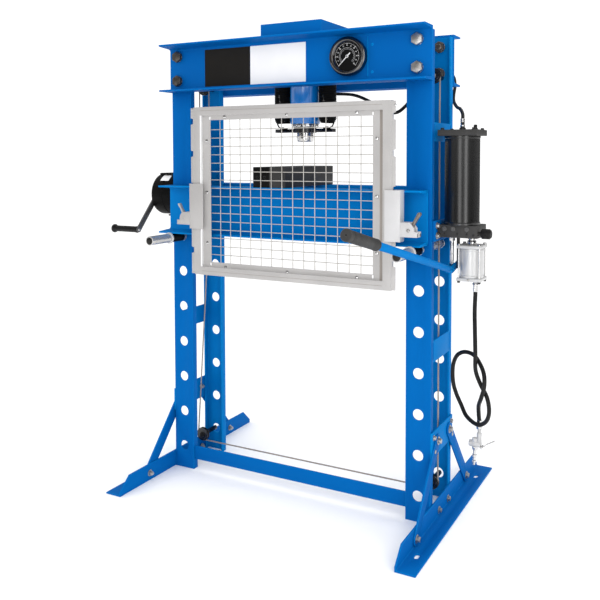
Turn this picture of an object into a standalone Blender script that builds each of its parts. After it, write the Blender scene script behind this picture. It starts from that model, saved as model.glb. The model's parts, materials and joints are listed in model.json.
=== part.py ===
"""A floor-standing hydraulic shop press.

Four channel posts carry two top beams and a cylinder. A bed of two channels stands on two pins in
the posts' holes, and a winch and a wire rope raise it. An air-driven pump with a hand lever hangs on
the right, and a guard of wire mesh slides in front of the bed. Lengths are in metres. Every place is
given from a point on the floor under the cylinder's axis: +X right, +Y to the back, +Z up.
"""

import math

import bmesh
import bpy
from mathutils import Matrix, Vector

# Clearances
GAP = 0.0003  # between pieces that touch
PAST = 0.01  # how far a cutter or a joined shape runs past the surface it meets
BED_PLAY = 0.001  # between the bed's webs and the posts
HOLE_PLAY = 0.004  # by which a post's hole is wider than a bed pin
SPRING_PLAY = 0.0055  # between the cylinder and a return spring
PIN_PLAY = 0.0012  # between a latch lever and the cheeks of its housing

# Posts
FRAME_WIDTH = 1.178  # over the outer faces of the posts
FRAME_DEPTH = 0.251  # over the front and rear faces of the posts
POST_FACE = 0.098
POST_LEG = 0.029
POST_WALL = 0.006
POST_BELOW_BEAM_TOP = 0.012
HOLE_FIRST = 0.0985
HOLE_PITCH = 0.155
HOLE_COUNT = 7

# Bed and its pins
BED_HOLE = 6  # the hole that the bed's pins sit in, counted up from 0
BED_SHORTER = 0.001  # how much shorter than the frame's width the bed is
BED_OFFSET = -0.0115
BED_HEIGHT = 0.203
BED_REACH = 0.0895  # from a web's inner face to its flange tips
BED_WEB = 0.008
BED_FLANGE = 0.010
BED_TRAVEL = 0.09
SPACER_WIDTH = 0.012
SPACER_INSET = 0.024  # from a post's inner edge
SPACER_EDGE = 0.03  # left free below and above a spacer
LUG_HEIGHT = 0.03
LUG_WIDTH = 0.02
LUG_BELOW_TOP = 0.049
PIN_DIAMETER = 0.038
PIN_FRONT = 0.1345  # how far a pin stands out of the bed's flanges
PIN_BACK = 0.001  # how far short of the rear flange tips it ends
PIN_CHAMFER = 0.003
COLLAR_STEP = 0.0045  # how far a pin's collar stands out around it
COLLAR_WIDTH = 0.010

# Press bars, ram and cylinder, from the bed up
BAR_WIDTH = 0.0733
BAR_HEIGHT = 0.0816
BAR_LENGTH = 0.43
BAR_RIGHT_EDGE = 0.024
BAR_CHAMFER = 0.002
DAYLIGHT = 0.102  # from the bars to the ram's nose
NOSE_BELOW_CYLINDER = 0.073
NOSE_CHAMFER = 0.003
ROD_DIAMETER = 0.068
PISTON_HEIGHT = 0.05
CYLINDER_BELOW_BEAM = 0.143
CYLINDER_DIAMETER = 0.123
CYLINDER_WALL = 0.008
GLAND_HEIGHT = 0.03
PORT_HEIGHT = 0.126  # of the oil port above the cylinder's lower end
PORT_TURN = math.radians(50)  # the port's heading, from +X to the back
PORT_DIAMETER = 0.02
PORT_REACH = 0.014
YOKE_BELOW_CYLINDER = 0.020
YOKE_END = 0.026  # how far the yoke runs past the springs' axes
YOKE_DEPTH = 0.044
YOKE_HEIGHT = 0.014
YOKE_HUB_DIAMETER = 0.094
YOKE_HUB_HEIGHT = 0.023
YOKE_HUB_BELOW = 0.002
SPRING_DIAMETER = 0.074
SPRING_WIRE = 0.006
SPRING_TURNS = 10
SPRING_HOOK = 0.030  # from a spring's lowest coil to the yoke

# Top beams and crown box
BEAM_OVERHANG = 0.003
BEAM_HEIGHT = 0.198
BEAM_REACH = 0.0876
BEAM_WEB = 0.008
BEAM_FLANGE = 0.010
BOX_SHORT = 0.003  # how far the box stops short of the springs' outer sides
BOX_ABOVE_BEAM = 0.061
BOX_BELOW_TOP = 0.118
BOX_WALL = 0.008

# Side plates, braces, feet and tie bar
PLATE_WALL = 0.006
UPPER_PLATE_DROP = 0.152  # from the beams down to the upper plate
UPPER_PLATE_HEIGHT = 0.069
MIDDLE_PLATE_BOTTOM = 0.605
MIDDLE_PLATE_HEIGHT = 0.080
LOWER_PLATE_BOTTOM = 0.25
LOWER_PLATE_HEIGHT = 0.095
BRACE_WIDTH = 0.05
BRACE_TOP = (0.07, 0.303)  # its upper bolt, out from the middle and up
BRACE_FOOT = 0.305  # how far out from the middle its lower bolt is
FOOT_LENGTH = 0.982
FOOT_WIDTH = 0.074
FOOT_HEIGHT = 0.070
FOOT_WALL = 0.006
FOOT_CHAMFER = (0.059, 0.053)
SLOT_PLACE = (0.036, 0.37)  # out from the post's side, and along from the middle
SLOT_LENGTH = 0.034
SLOT_WIDTH = 0.016
TIE_BOTTOM = 0.045
TIE_HEIGHT = 0.058
TIE_WALL = 0.008

# Rope, pulleys and winch
ROPE_DIAMETER = 0.006
ROPE_PLANE = 0.02  # how far behind the middle the rope runs
LEFT_UPPER_PLANE = 0.05
PULLEY_DIAMETER = 0.06
PULLEY_WIDTH = 0.016
PULLEY_PITCH = 0.051  # the rope's diameter around a pulley
PULLEY_INSET = 0.044  # from the post's outer face
SPINDLE_DIAMETER = 0.020
LOWER_PULLEY_HEIGHT = 0.101
UPPER_PULLEY_RISE = 0.03  # above the beams' lower side
WINCH_ABOVE_BED = 0.159
WINCH_FORWARD = 0.02
WINCH_DIAMETER = 0.186
WINCH_DEPTH = 0.138
WINCH_BASE = (0.21, 0.19)
SHAFT_DIAMETER = 0.022
SHAFT_PLAY = 0.0005
DRUM_END = 0.006  # from the post's inner edge out to the drum's end
DRUM_LENGTH = 0.05
DRUM_RIM = 0.004
DRUM_RIM_DIAMETER = 0.1
CRANK_ARM = (0.170, 0.153)  # forward and down from the shaft to the grip
CRANK_WIDTH = 0.026
CRANK_WALL = 0.008
GRIP_LENGTH = 0.140
GRIP_DIAMETER = 0.027
GRIP_FLARE = 0.038
GRIP_SPINDLE = 0.010
GRIP_FLANGE = (0.005, 0.011, 0.018)  # from its end to where the flange is full, narrows and ends
GRIP_COLLAR = (0.004, 0.010, 0.002)  # its full and tapered height, and how far it stands out

# Guard
GUARD_OFFSET = 0.048
GUARD_INSET = 0.157  # from the frame's side to the guard's raised band
GUARD_HEIGHT = 0.686
GUARD_RISE = 0.0835  # of the guard's middle above the bed's middle
GUARD_FRONT = 0.035  # from the bed's flange tips to the guard's front
BAND_WIDTH = 0.0325
BAND_HEIGHT = 0.034
BAND_DEPTH = 0.026
LIP_WIDTH = 0.0425
LIP_HEIGHT = 0.0195
LIP_BACK = 0.011  # from the band's front to the lip's
SHEET = 0.003
STRIP_WIDTH = 0.0165
STRIP_BACK = 0.0025
NOTCH_PITCH = 0.132
NOTCH_HEIGHT = 0.034
NOTCH_DEPTH = 0.011
NOTCH_MIDDLE = 0.0215  # height of the middle notch above the guard's middle
MESH_MARGIN = 0.014

# Guide brackets and latches: each side's own heights above the bed's bottom, left then right
BRACKET_BOTTOM = (0.031, 0.021)
BRACKET_HEIGHT = 0.185
BRACKET_WIDTH = (0.067, 0.060)
BRACKET_OUTER = (0.020, 0.037)  # from the band's outer edge to the bracket's
BRACKET_FRONT = 0.0035  # between the band and the bracket's front plate
LATCH_WIDTH = 0.064
LATCH_BOTTOM = (0.046, 0.040)
LATCH_HEIGHT = 0.052
LATCH_CHEEK = 0.012
LATCH_LEVER_WIDTH = 0.012
LATCH_LEVER_REACH = 0.068
LATCH_LEVER_LEAN = math.radians(31)
LATCH_PIVOT = (0.030, 0.024)  # out from the bracket and up from the housing's bottom

# Gauge
GAUGE_PLACE = (0.266, 0.102)  # right of the middle, and above the beams' lower side
GAUGE_DIAMETER = 0.149
GAUGE_DEPTH = 0.036
GAUGE_RIM = 0.007
GAUGE_RECESS = 0.008
NEEDLE_LENGTH = 0.052
NEEDLE_TAIL = 0.016
NEEDLE_WIDTH = 0.005
NEEDLE_WALL = 0.0015
NEEDLE_REST = math.radians(225)  # clockwise from straight up, seen from the front

# Pump
PUMP_FORWARD = 0.035
PUMP_BRACKET = (0.012, 0.24, 0.075)
BLOCK_BOTTOM = 1.075
BLOCK_SIZE = (0.149, 0.12, 0.045)
TANK_DIAMETER = 0.128
TANK_HEIGHT = 0.327
TANK_PLATE = (0.145, 0.022)
FILLER_DIAMETER = 0.018
FILLER_HEIGHT = 0.014
MOTOR_OFFSET = 0.038  # of the air motor right of the tank's axis
MOTOR_NECK = (0.030, 0.028)
MOTOR_DIAMETER = 0.092
MOTOR_BARREL = 0.112
MOTOR_FLANGE = (0.103, 0.010)
INLET_OFFSET = 0.014
INLET_SIZE = (0.018, 0.012)
KNOB_FORWARD = 0.050
KNOB_NECK = (0.017, 0.010)
KNOB_SIZE = (0.0376, 0.038)
KNOB_CHAMFER = 0.003
KNOB_RISE = 0.018
LEVER_INSET = 0.0405  # of the handle's middle from the block's left side
LEVER_PIVOT = (0.020, 0.108)  # behind the block's middle, and below its underside
LEVER_DROP = 0.026  # from the pivot down to the handle's line
LEVER_SLOPE = math.radians(13.2)
LEVER_LENGTH = 0.99
LEVER_DIAMETER = 0.025
LEVER_GRIP = (0.037, 0.21)
LEVER_PIN = 0.008
LEVER_TUBE_START = 0.049  # along the lever from its pivot to its tube's end
CHEEK_WALL = 0.004
CHEEK_HEIGHT = 0.028
CHEEK_LAP = 0.012
HANGER_WIDTH = 0.006
HANGER_DEPTH = 0.026
PLUNGER_FORWARD = 0.030  # of the plunger from the lever's pivot
PLUNGER_DIAMETER = 0.015
PLUNGER_SUNK = 0.02
PLUNGER_TRAVEL = 0.0165
PLUNGER_BELOW_PIVOT = 0.010

# Hoses
HOSE_STRAIGHT = 0.02  # how far a hose runs straight out of a fitting
OIL_HOSE_DIAMETER = 0.013
AIR_HOSE_DIAMETER = 0.0155
AIR_VALVE_SIZE = (0.044, 0.026, 0.05)
AIR_VALVE_NECK = (0.014, 0.040)
AIR_VALVE_NIPPLE = (0.011, 0.055)
AIR_VALVE_OFFSET = 0.016  # of the valve's middle left of the hose's end
AIR_NIPPLE_LEAN = 0.004
AIR_PIVOT_SHARE = 0.7  # how far down the valve its lever's pivot is
AIR_LEVER = (0.008, 0.004, 0.056)  # its hub, its blade and its length
AIR_LEVER_LEAN = math.radians(60)

# Where each hose bends, as chosen points, for a pump and a cylinder that stand at these places
HOSES_PUMP_X = 0.6764
HOSES_CYLINDER_BOTTOM = 1.506
OIL_HOSE_MIDDLE = [
    (0.666, 0.000, 1.530),
    (0.640, 0.056, 1.552),
    (0.611, 0.110, 1.563),
    (0.583, 0.160, 1.588),
    (0.570, 0.200, 1.618),
    (0.564, 0.236, 1.656),
    (0.552, 0.258, 1.694),
    (0.526, 0.266, 1.714),
    (0.500, 0.258, 1.698),
    (0.486, 0.238, 1.655),
    (0.476, 0.202, 1.618),
    (0.466, 0.150, 1.602),
    (0.460, 0.090, 1.604),
    (0.456, 0.030, 1.596),
    (0.446, -0.014, 1.566),
    (0.418, -0.028, 1.542),
    (0.372, -0.010, 1.545),
    (0.318, 0.022, 1.570),
    (0.256, 0.062, 1.598),
    (0.190, 0.097, 1.622),
    (0.132, 0.112, 1.632),
]
AIR_HOSE_MIDDLE = [
    (0.729, -0.036, 0.864),
    (0.728, -0.040, 0.800),
    (0.736, -0.063, 0.726),
    (0.743, -0.081, 0.649),
    (0.740, -0.065, 0.588),
    (0.756, -0.062, 0.541),
    (0.786, -0.077, 0.496),
    (0.795, -0.082, 0.445),
    (0.779, -0.069, 0.403),
    (0.741, -0.044, 0.380),
    (0.692, -0.009, 0.392),
    (0.663, 0.014, 0.427),
    (0.644, 0.015, 0.466),
    (0.635, 0.006, 0.507),
    (0.631, 0.009, 0.549),
    (0.636, 0.007, 0.588),
    (0.656, -0.006, 0.623),
    (0.692, -0.024, 0.641),
    (0.733, -0.044, 0.633),
    (0.773, -0.084, 0.593),
    (0.781, -0.098, 0.545),
    (0.767, -0.087, 0.495),
    (0.748, -0.049, 0.454),
    (0.743, -0.029, 0.416),
    (0.744, -0.023, 0.385),
]

# Places that follow from the sizes above
HALF_WIDTH = FRAME_WIDTH / 2
HALF_DEPTH = FRAME_DEPTH / 2
POST_INNER = HALF_WIDTH - POST_FACE
HOLE_X = HALF_WIDTH - POST_FACE / 2
BED_HOLE_Z = HOLE_FIRST + HOLE_PITCH * BED_HOLE
HOLE_DIAMETER = PIN_DIAMETER + HOLE_PLAY
COLLAR_DIAMETER = PIN_DIAMETER + 2 * COLLAR_STEP
SPRING_SPACING = CYLINDER_DIAMETER + SPRING_DIAMETER + 2 * SPRING_PLAY
YOKE_WIDTH = SPRING_SPACING + 2 * YOKE_END
BOX_WIDTH = SPRING_SPACING + SPRING_DIAMETER - 2 * BOX_SHORT
PIN_Z = BED_HOLE_Z - (HOLE_DIAMETER - PIN_DIAMETER) / 2 + GAP
BED_BOTTOM = PIN_Z + PIN_DIAMETER / 2 + GAP
BED_TOP = BED_BOTTOM + BED_HEIGHT
BED_WEB_Y = HALF_DEPTH + BED_PLAY
BED_TIP_Y = BED_WEB_Y + BED_REACH
BAR_TOP = BED_TOP + GAP + BAR_HEIGHT
NOSE_BOTTOM = BAR_TOP + DAYLIGHT
CYLINDER_BOTTOM = NOSE_BOTTOM + NOSE_BELOW_CYLINDER
BEAM_BOTTOM = CYLINDER_BOTTOM + CYLINDER_BELOW_BEAM
BEAM_TOP = BEAM_BOTTOM + BEAM_HEIGHT
BEAM_WEB_Y = HALF_DEPTH + GAP
BEAM_TIP_Y = BEAM_WEB_Y + BEAM_REACH
BOX_TOP = BEAM_TOP + BOX_ABOVE_BEAM
BOX_BOTTOM = BOX_TOP - BOX_BELOW_TOP
POST_HEIGHT = BEAM_TOP - POST_BELOW_BEAM_TOP
YOKE_TOP = CYLINDER_BOTTOM - YOKE_BELOW_CYLINDER
PLATE_FACE = HALF_WIDTH + GAP + PLATE_WALL
PULLEY_X = HALF_WIDTH - PULLEY_INSET
UPPER_PULLEY_Z = BEAM_BOTTOM + UPPER_PULLEY_RISE
LUG_TOP = BED_TOP - LUG_BELOW_TOP
WINCH_Z = BED_BOTTOM + WINCH_ABOVE_BED
WINCH_FACE = HALF_WIDTH + GAP + WINCH_DEPTH
DRUM_X = POST_INNER - DRUM_END
DRUM_DIAMETER = 2 * (ROPE_PLANE + WINCH_FORWARD - GAP) - ROPE_DIAMETER
BAND_OUTER = HALF_WIDTH - GUARD_INSET
GUARD_Z = BED_BOTTOM + BED_HEIGHT / 2 + GUARD_RISE
GUARD_Y = BED_TIP_Y + GUARD_FRONT
PUMP_X = HALF_WIDTH + PUMP_BRACKET[0] + 2 * GAP + BLOCK_SIZE[0] / 2
BLOCK_TOP = BLOCK_BOTTOM + BLOCK_SIZE[2]
BLOCK_LEFT = PUMP_X - BLOCK_SIZE[0] / 2
TANK_TOP = BLOCK_TOP + GAP + TANK_HEIGHT + TANK_PLATE[1]
MOTOR_X = PUMP_X + MOTOR_OFFSET
MOTOR_BOTTOM = BLOCK_BOTTOM - GAP - MOTOR_NECK[1] - MOTOR_BARREL - 2 * MOTOR_FLANGE[1]
LEVER_X = BLOCK_LEFT + LEVER_INSET
LEVER_Y = -PUMP_FORWARD + LEVER_PIVOT[0]
LEVER_Z = BLOCK_BOTTOM - LEVER_PIVOT[1]
CLEVIS_WIDTH = PLUNGER_DIAMETER + 2 * GAP + 2 * CHEEK_WALL
PUMP_SHIFT = PUMP_X - HOSES_PUMP_X
CYLINDER_SHIFT = CYLINDER_BOTTOM - HOSES_CYLINDER_BOTTOM

# The object's own origin lies on the floor, in the middle of its box
LEFT_REACH = WINCH_FACE + CRANK_WALL + 2 * GAP + GRIP_LENGTH
RIGHT_REACH = PUMP_X + BLOCK_SIZE[0] / 2 + KNOB_NECK[1] + KNOB_SIZE[1]
GRIP_RISE = LEVER_GRIP[0] / 2 * math.sin(LEVER_SLOPE)
FRONT_REACH = LEVER_LENGTH * math.cos(LEVER_SLOPE) - LEVER_Y + GRIP_RISE
BACK_REACH = FOOT_LENGTH / 2
ORIGIN = Vector(((LEFT_REACH - RIGHT_REACH) / 2, (FRONT_REACH - BACK_REACH) / 2, 0))

# Name: colour, roughness, metallic
FINISHES = {
    "blue_paint": ((0.010, 0.330, 0.680), 0.35, 0.0),
    "black_paint": ((0.020, 0.020, 0.022), 0.40, 0.0),
    "grey_casting": ((0.280, 0.280, 0.290), 0.55, 0.3),
    "bar_steel": ((0.300, 0.310, 0.320), 0.45, 0.9),
    "bright_steel": ((0.620, 0.620, 0.630), 0.22, 1.0),
    "aluminium": ((0.720, 0.700, 0.690), 0.45, 0.8),
    "wire": ((0.600, 0.600, 0.600), 0.40, 0.9),
    "rubber": ((0.030, 0.030, 0.032), 0.60, 0.0),
    "plastic": ((0.025, 0.025, 0.027), 0.45, 0.0),
    "dial": ((0.015, 0.015, 0.016), 0.50, 0.0),
    "needle": ((0.850, 0.850, 0.830), 0.45, 0.0),
}


def clear_scene():
    for obj in list(bpy.data.objects):
        bpy.data.objects.remove(obj, do_unlink=True)


def new_collection(name):
    collection = bpy.data.collections.new(name)
    bpy.context.scene.collection.children.link(collection)
    return collection


def new_material(name, finish):
    colour, roughness, metallic = FINISHES[finish]
    material = bpy.data.materials.new(name)
    material.use_nodes = True
    shader = material.node_tree.nodes["Principled BSDF"]
    shader.inputs["Base Color"].default_value = (*colour, 1)
    shader.inputs["Roughness"].default_value = roughness
    shader.inputs["Metallic"].default_value = metallic
    material.diffuse_color = (*colour, 1)
    return material


def carrier(name, place=(0, 0, 0), parent=None):
    """An empty that pieces are parented to; a joint's carrier sits on the joint's axis."""
    empty = bpy.data.objects.new(name, None)
    empty.empty_display_size = 0.05
    empty.parent = parent
    empty.location = Vector(place) - place_of(parent)
    PARTS.objects.link(empty)
    return empty


def place_of(empty):
    """Where a carrier is, from the point on the floor under the cylinder."""
    if empty is None or empty.parent is None:
        return Vector((0, 0, 0))
    return empty.location + place_of(empty.parent)


# Meshes, all placed from the point on the floor under the cylinder


def mesh_from(bm, name="solid"):
    mesh = bpy.data.meshes.new(name)
    bm.to_mesh(mesh)
    bm.free()
    return mesh


def box(low, high):
    """A box between two corners."""
    bm = bmesh.new()
    bmesh.ops.create_cube(bm, size=1)
    low, high = Vector(low), Vector(high)
    bmesh.ops.scale(bm, vec=high - low, verts=bm.verts)
    bmesh.ops.translate(bm, vec=(low + high) / 2, verts=bm.verts)
    return mesh_from(bm)


def side_box(side, x, y, z):
    """A box whose x range is given outwards from the middle, on the left (-1) or the right (1)."""
    across = sorted((side * x[0], side * x[1]))
    return box((across[0], y[0], z[0]), (across[1], y[1], z[1]))


def rod(start, end, radius, end_radius=None, segments=24):
    """A closed cylinder, or a cone, between two points."""
    start, end = Vector(start), Vector(end)
    run = end - start
    bm = bmesh.new()
    bmesh.ops.create_cone(
        bm,
        cap_ends=True,
        segments=segments,
        radius1=radius,
        radius2=radius if end_radius is None else end_radius,
        depth=run.length,
    )
    turn = run.to_track_quat("Z", "Y").to_matrix().to_4x4()
    bmesh.ops.transform(bm, matrix=Matrix.Translation((start + end) / 2) @ turn, verts=bm.verts)
    return mesh_from(bm)


def bore(start, end, radius, segments=24):
    """A cutter for a round hole, whose flats touch the radius that the hole keeps free."""
    return rod(start, end, radius / math.cos(math.pi / segments), segments=segments)


def together(*meshes):
    """One mesh of several that stay apart."""
    bm = bmesh.new()
    for mesh in meshes:
        bm.from_mesh(mesh)
    return mesh_from(bm)


def raised(outline, run):
    """A flat outline of points as a solid, drawn out along a run."""
    bm = bmesh.new()
    face = bm.faces.new([bm.verts.new(point) for point in outline])
    made = bmesh.ops.extrude_face_region(bm, geom=[face])
    verts = [item for item in made["geom"] if isinstance(item, bmesh.types.BMVert)]
    bmesh.ops.translate(bm, vec=run, verts=verts)
    bmesh.ops.recalc_face_normals(bm, faces=bm.faces)
    return mesh_from(bm)


def plate(outline, x, thickness):
    """A flat outline of (y, z) points as a plate, from x outwards by its thickness."""
    return raised([(x, y, z) for y, z in outline], (thickness, 0, 0))


def front_plate(outline, y, thickness):
    """A flat outline of (x, z) points as a plate, from y backwards by its thickness."""
    return raised([(x, y, z) for x, z in outline], (0, thickness, 0))


def capsule(start, end, radius, steps=8):
    """The outline of a flat bar with round ends, between two points of a plane."""
    start, end = Vector(start), Vector(end)
    heading = math.atan2(end.y - start.y, end.x - start.x)
    outline = []
    for centre, first in ((end, heading - math.pi / 2), (start, heading + math.pi / 2)):
        for step in range(steps + 1):
            angle = first + math.pi * step / steps
            outline.append((centre.x + radius * math.cos(angle), centre.y + radius * math.sin(angle)))
    return outline


# Objects


def part(name, mesh, finish, holder=None):
    """A named piece with its own material, held by a carrier."""
    holder = holder or BASE
    mesh.name = name
    mesh.transform(Matrix.Translation(-place_of(holder)))
    mesh.materials.append(new_material(name, finish))
    obj = bpy.data.objects.new(name, mesh)
    obj.parent = holder
    PARTS.objects.link(obj)
    return obj


def turned_part(name, profile, finish, place, direction, holder=None, steps=32):
    """A profile of (radius, height) points, its outer side from top to bottom, turned on an axis."""
    holder = holder or BASE
    mesh = bpy.data.meshes.new(name)
    count = len(profile)
    edges = [(index, (index + 1) % count) for index in range(count)]
    if profile[0][0] == 0 and profile[-1][0] == 0:
        edges.pop()
    mesh.from_pydata([(radius, 0, height) for radius, height in profile], edges, [])
    mesh.materials.append(new_material(name, finish))
    obj = bpy.data.objects.new(name, mesh)
    obj.parent = holder
    obj.location = Vector(place) - place_of(holder)
    obj.rotation_mode = "QUATERNION"
    obj.rotation_quaternion = Vector(direction).to_track_quat("Z", "Y")
    PARTS.objects.link(obj)
    screw = obj.modifiers.new("Turn", "SCREW")
    screw.steps = steps
    screw.render_steps = steps
    screw.use_merge_vertices = True
    screw.merge_threshold = 0.00001
    screw.use_smooth_shade = True
    return obj


def tube_part(name, points, diameter, finish, resolution=2, holder=None):
    """A round wire or hose through a list of points."""
    holder = holder or BASE
    curve = bpy.data.curves.new(name, "CURVE")
    curve.dimensions = "3D"
    curve.bevel_depth = diameter / 2
    curve.bevel_resolution = resolution
    curve.use_fill_caps = True
    spline = curve.splines.new("POLY")
    spline.points.add(len(points) - 1)
    for point, place in zip(spline.points, points):
        point.co = (*(Vector(place) - place_of(holder)), 1)
    spline.use_smooth = True
    curve.materials.append(new_material(name, finish))
    obj = bpy.data.objects.new(name, curve)
    obj.parent = holder
    PARTS.objects.link(obj)
    return obj


def helper(name, mesh):
    """A hidden solid that is cut from a piece, or joined to it."""
    obj = bpy.data.objects.new(name, mesh)
    obj.parent = BASE
    obj.hide_render = True
    obj.display_type = "WIRE"
    CUTTERS.objects.link(obj)
    return obj


def combine(obj, mesh, operation):
    modifier = obj.modifiers.new(operation.title(), "BOOLEAN")
    modifier.operation = operation
    modifier.solver = "EXACT"
    modifier.object = helper(f"{obj.name}.{operation.lower()}", mesh)


def join(obj, *meshes):
    for mesh in meshes:
        combine(obj, mesh, "UNION")


def cut(obj, *meshes):
    for mesh in meshes:
        combine(obj, mesh, "DIFFERENCE")


def soften(obj, width, segments=1):
    """Chamfers a piece's edges, or rounds them."""
    bevel = obj.modifiers.new("Edges", "BEVEL")
    bevel.width = width
    bevel.segments = segments
    bevel.limit_method = "ANGLE"
    bevel.angle_limit = math.radians(40)


def smooth_route(route, spacing):
    """Points about one spacing apart on a smooth curve through the route's points."""
    route = [Vector(point) for point in route]
    ends = [2 * route[0] - route[1], *route, 2 * route[-1] - route[-2]]
    points = []
    for before, start, end, after in zip(ends, ends[1:], ends[2:], ends[3:]):
        steps = max(1, round((end - start).length / spacing))
        for step in range(steps):
            t = step / steps
            points.append(
                0.5
                * (
                    2 * start
                    + (end - before) * t
                    + (2 * before - 5 * start + 4 * end - after) * t**2
                    + (3 * start - before - 3 * end + after) * t**3
                )
            )
    return [*points, route[-1]]


def arc(centre, radius, first, last, steps=6):
    """Points of an arc in a plane facing the front, with its angles from +X towards +Z."""
    x, y, z = centre
    angles = [first + (last - first) * step / steps for step in range(steps + 1)]
    return [(x + radius * math.cos(angle), y, z + radius * math.sin(angle)) for angle in angles]


# Frame


def make_posts():
    for row, depth_name in ((-1, "front"), (1, "rear")):
        for side, side_name in ((-1, "left"), (1, "right")):
            face = sorted((row * HALF_DEPTH, row * (HALF_DEPTH - POST_LEG)))
            post = part(
                f"post_{depth_name}_{side_name}",
                side_box(side, (POST_INNER, HALF_WIDTH), face, (0, POST_HEIGHT)),
                "blue_paint",
            )
            hollow = sorted((row * (HALF_DEPTH - POST_WALL), row * (HALF_DEPTH - POST_LEG - PAST)))
            inside = (POST_INNER + POST_WALL, HALF_WIDTH - POST_WALL)
            cut(post, side_box(side, inside, hollow, (-PAST, POST_HEIGHT + PAST)))
            cut(post, together(*(hole_cutter(side, row, index) for index in range(HOLE_COUNT))))


def hole_cutter(side, row, index):
    x = side * HOLE_X
    z = HOLE_FIRST + HOLE_PITCH * index
    start = (x, row * (HALF_DEPTH + PAST), z)
    end = (x, row * (HALF_DEPTH - POST_WALL - PAST), z)
    return bore(start, end, HOLE_DIAMETER / 2, 16)


def channel(name, row, length, middle, bottom, height, web_y, reach, web, flange, holder=None):
    """A channel lying across the frame, its web inwards and its flanges pointing away."""
    low, high = middle - length / 2, middle + length / 2
    outside = sorted((row * web_y, row * (web_y + reach)))
    beam = part(
        name,
        box((low, outside[0], bottom), (high, outside[1], bottom + height)),
        "blue_paint",
        holder,
    )
    hollow = sorted((row * (web_y + web), row * (web_y + reach + PAST)))
    cut(
        beam,
        box(
            (low - PAST, hollow[0], bottom + flange),
            (high + PAST, hollow[1], bottom + height - flange),
        ),
    )
    return beam


def make_beams():
    for row, name in ((-1, "front"), (1, "rear")):
        length = FRAME_WIDTH + 2 * BEAM_OVERHANG
        channel(
            f"top_beam_{name}", row, length, 0, BEAM_BOTTOM, BEAM_HEIGHT,
            BEAM_WEB_Y, BEAM_REACH, BEAM_WEB, BEAM_FLANGE,
        )


def make_crown_box():
    """The box between the beams that holds the cylinder: its floor has a bore for it."""
    half = BOX_WIDTH / 2
    crown = part(
        "crown_box",
        box((-half, -HALF_DEPTH, BOX_BOTTOM), (half, HALF_DEPTH, BOX_TOP)),
        "blue_paint",
    )
    inner = half - BOX_WALL
    depth = HALF_DEPTH - BOX_WALL
    hollow = box((-inner, -depth, BOX_BOTTOM + BOX_WALL), (inner, depth, BOX_TOP - BOX_WALL))
    start, end = (0, 0, BOX_BOTTOM - PAST), (0, 0, BOX_BOTTOM + 2 * BOX_WALL)
    cut(crown, hollow, bore(start, end, CYLINDER_DIAMETER / 2 + GAP, 32))


def make_side_plates():
    """Plates across each upright's open side; the lower ones lie outside and carry the braces."""
    between = HALF_DEPTH - POST_LEG - GAP
    levels = (
        ("upper", BEAM_BOTTOM - UPPER_PLATE_DROP - UPPER_PLATE_HEIGHT, UPPER_PLATE_HEIGHT),
        ("middle", MIDDLE_PLATE_BOTTOM, MIDDLE_PLATE_HEIGHT),
    )
    for side, name in ((-1, "left"), (1, "right")):
        for level, bottom, height in levels:
            inset = (HALF_WIDTH - PLATE_WALL, HALF_WIDTH)
            mesh = side_box(side, inset, (-between, between), (bottom, bottom + height))
            part(f"side_plate_{level}_{name}", mesh, "blue_paint")
        outside = (HALF_WIDTH + GAP, PLATE_FACE)
        height = (LOWER_PLATE_BOTTOM, LOWER_PLATE_BOTTOM + LOWER_PLATE_HEIGHT)
        mesh = side_box(side, outside, (-HALF_DEPTH, HALF_DEPTH), height)
        part(f"side_plate_lower_{name}", mesh, "blue_paint")


def make_braces():
    for side, side_name in ((-1, "left"), (1, "right")):
        for row, row_name in ((-1, "front"), (1, "rear")):
            top = (row * BRACE_TOP[0], BRACE_TOP[1])
            foot = (row * BRACE_FOOT, FOOT_WALL + GAP + BRACE_WIDTH / 2)
            outline = capsule(top, foot, BRACE_WIDTH / 2)
            mesh = plate(outline, side * (PLATE_FACE + GAP), side * PLATE_WALL)
            part(f"brace_{row_name}_{side_name}", mesh, "blue_paint")


def make_feet():
    """Angles beside the posts, with slots for floor bolts."""
    half = FOOT_LENGTH / 2
    across, rise = FOOT_CHAMFER
    outline = [
        (-half, 0),
        (half, 0),
        (half, FOOT_HEIGHT - rise),
        (half - across, FOOT_HEIGHT),
        (across - half, FOOT_HEIGHT),
        (-half, FOOT_HEIGHT - rise),
    ]
    for side, name in ((-1, "left"), (1, "right")):
        inner = HALF_WIDTH + GAP
        foot = part(f"foot_{name}", plate(outline, side * inner, side * FOOT_WALL), "blue_paint")
        join(foot, side_box(side, (inner, inner + FOOT_WIDTH), (-half, half), (0, FOOT_WALL)))
        cut(foot, *(slot_cutter(side, row) for row in (-1, 1)))


def slot_cutter(side, row):
    reach = (SLOT_LENGTH - SLOT_WIDTH) / 2
    x = side * (HALF_WIDTH + SLOT_PLACE[0])
    y = row * SLOT_PLACE[1]
    outline = capsule((x, y - reach), (x, y + reach), SLOT_WIDTH / 2, steps=6)
    return raised([(px, py, -PAST) for px, py in outline], (0, 0, FOOT_WALL + 0.02))


def make_tie_bar():
    half = POST_INNER - GAP
    front = -HALF_DEPTH + POST_WALL
    mesh = box((-half, front, TIE_BOTTOM), (half, front + TIE_WALL, TIE_BOTTOM + TIE_HEIGHT))
    part("tie_bar", mesh, "blue_paint")


# Cylinder and ram


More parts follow.
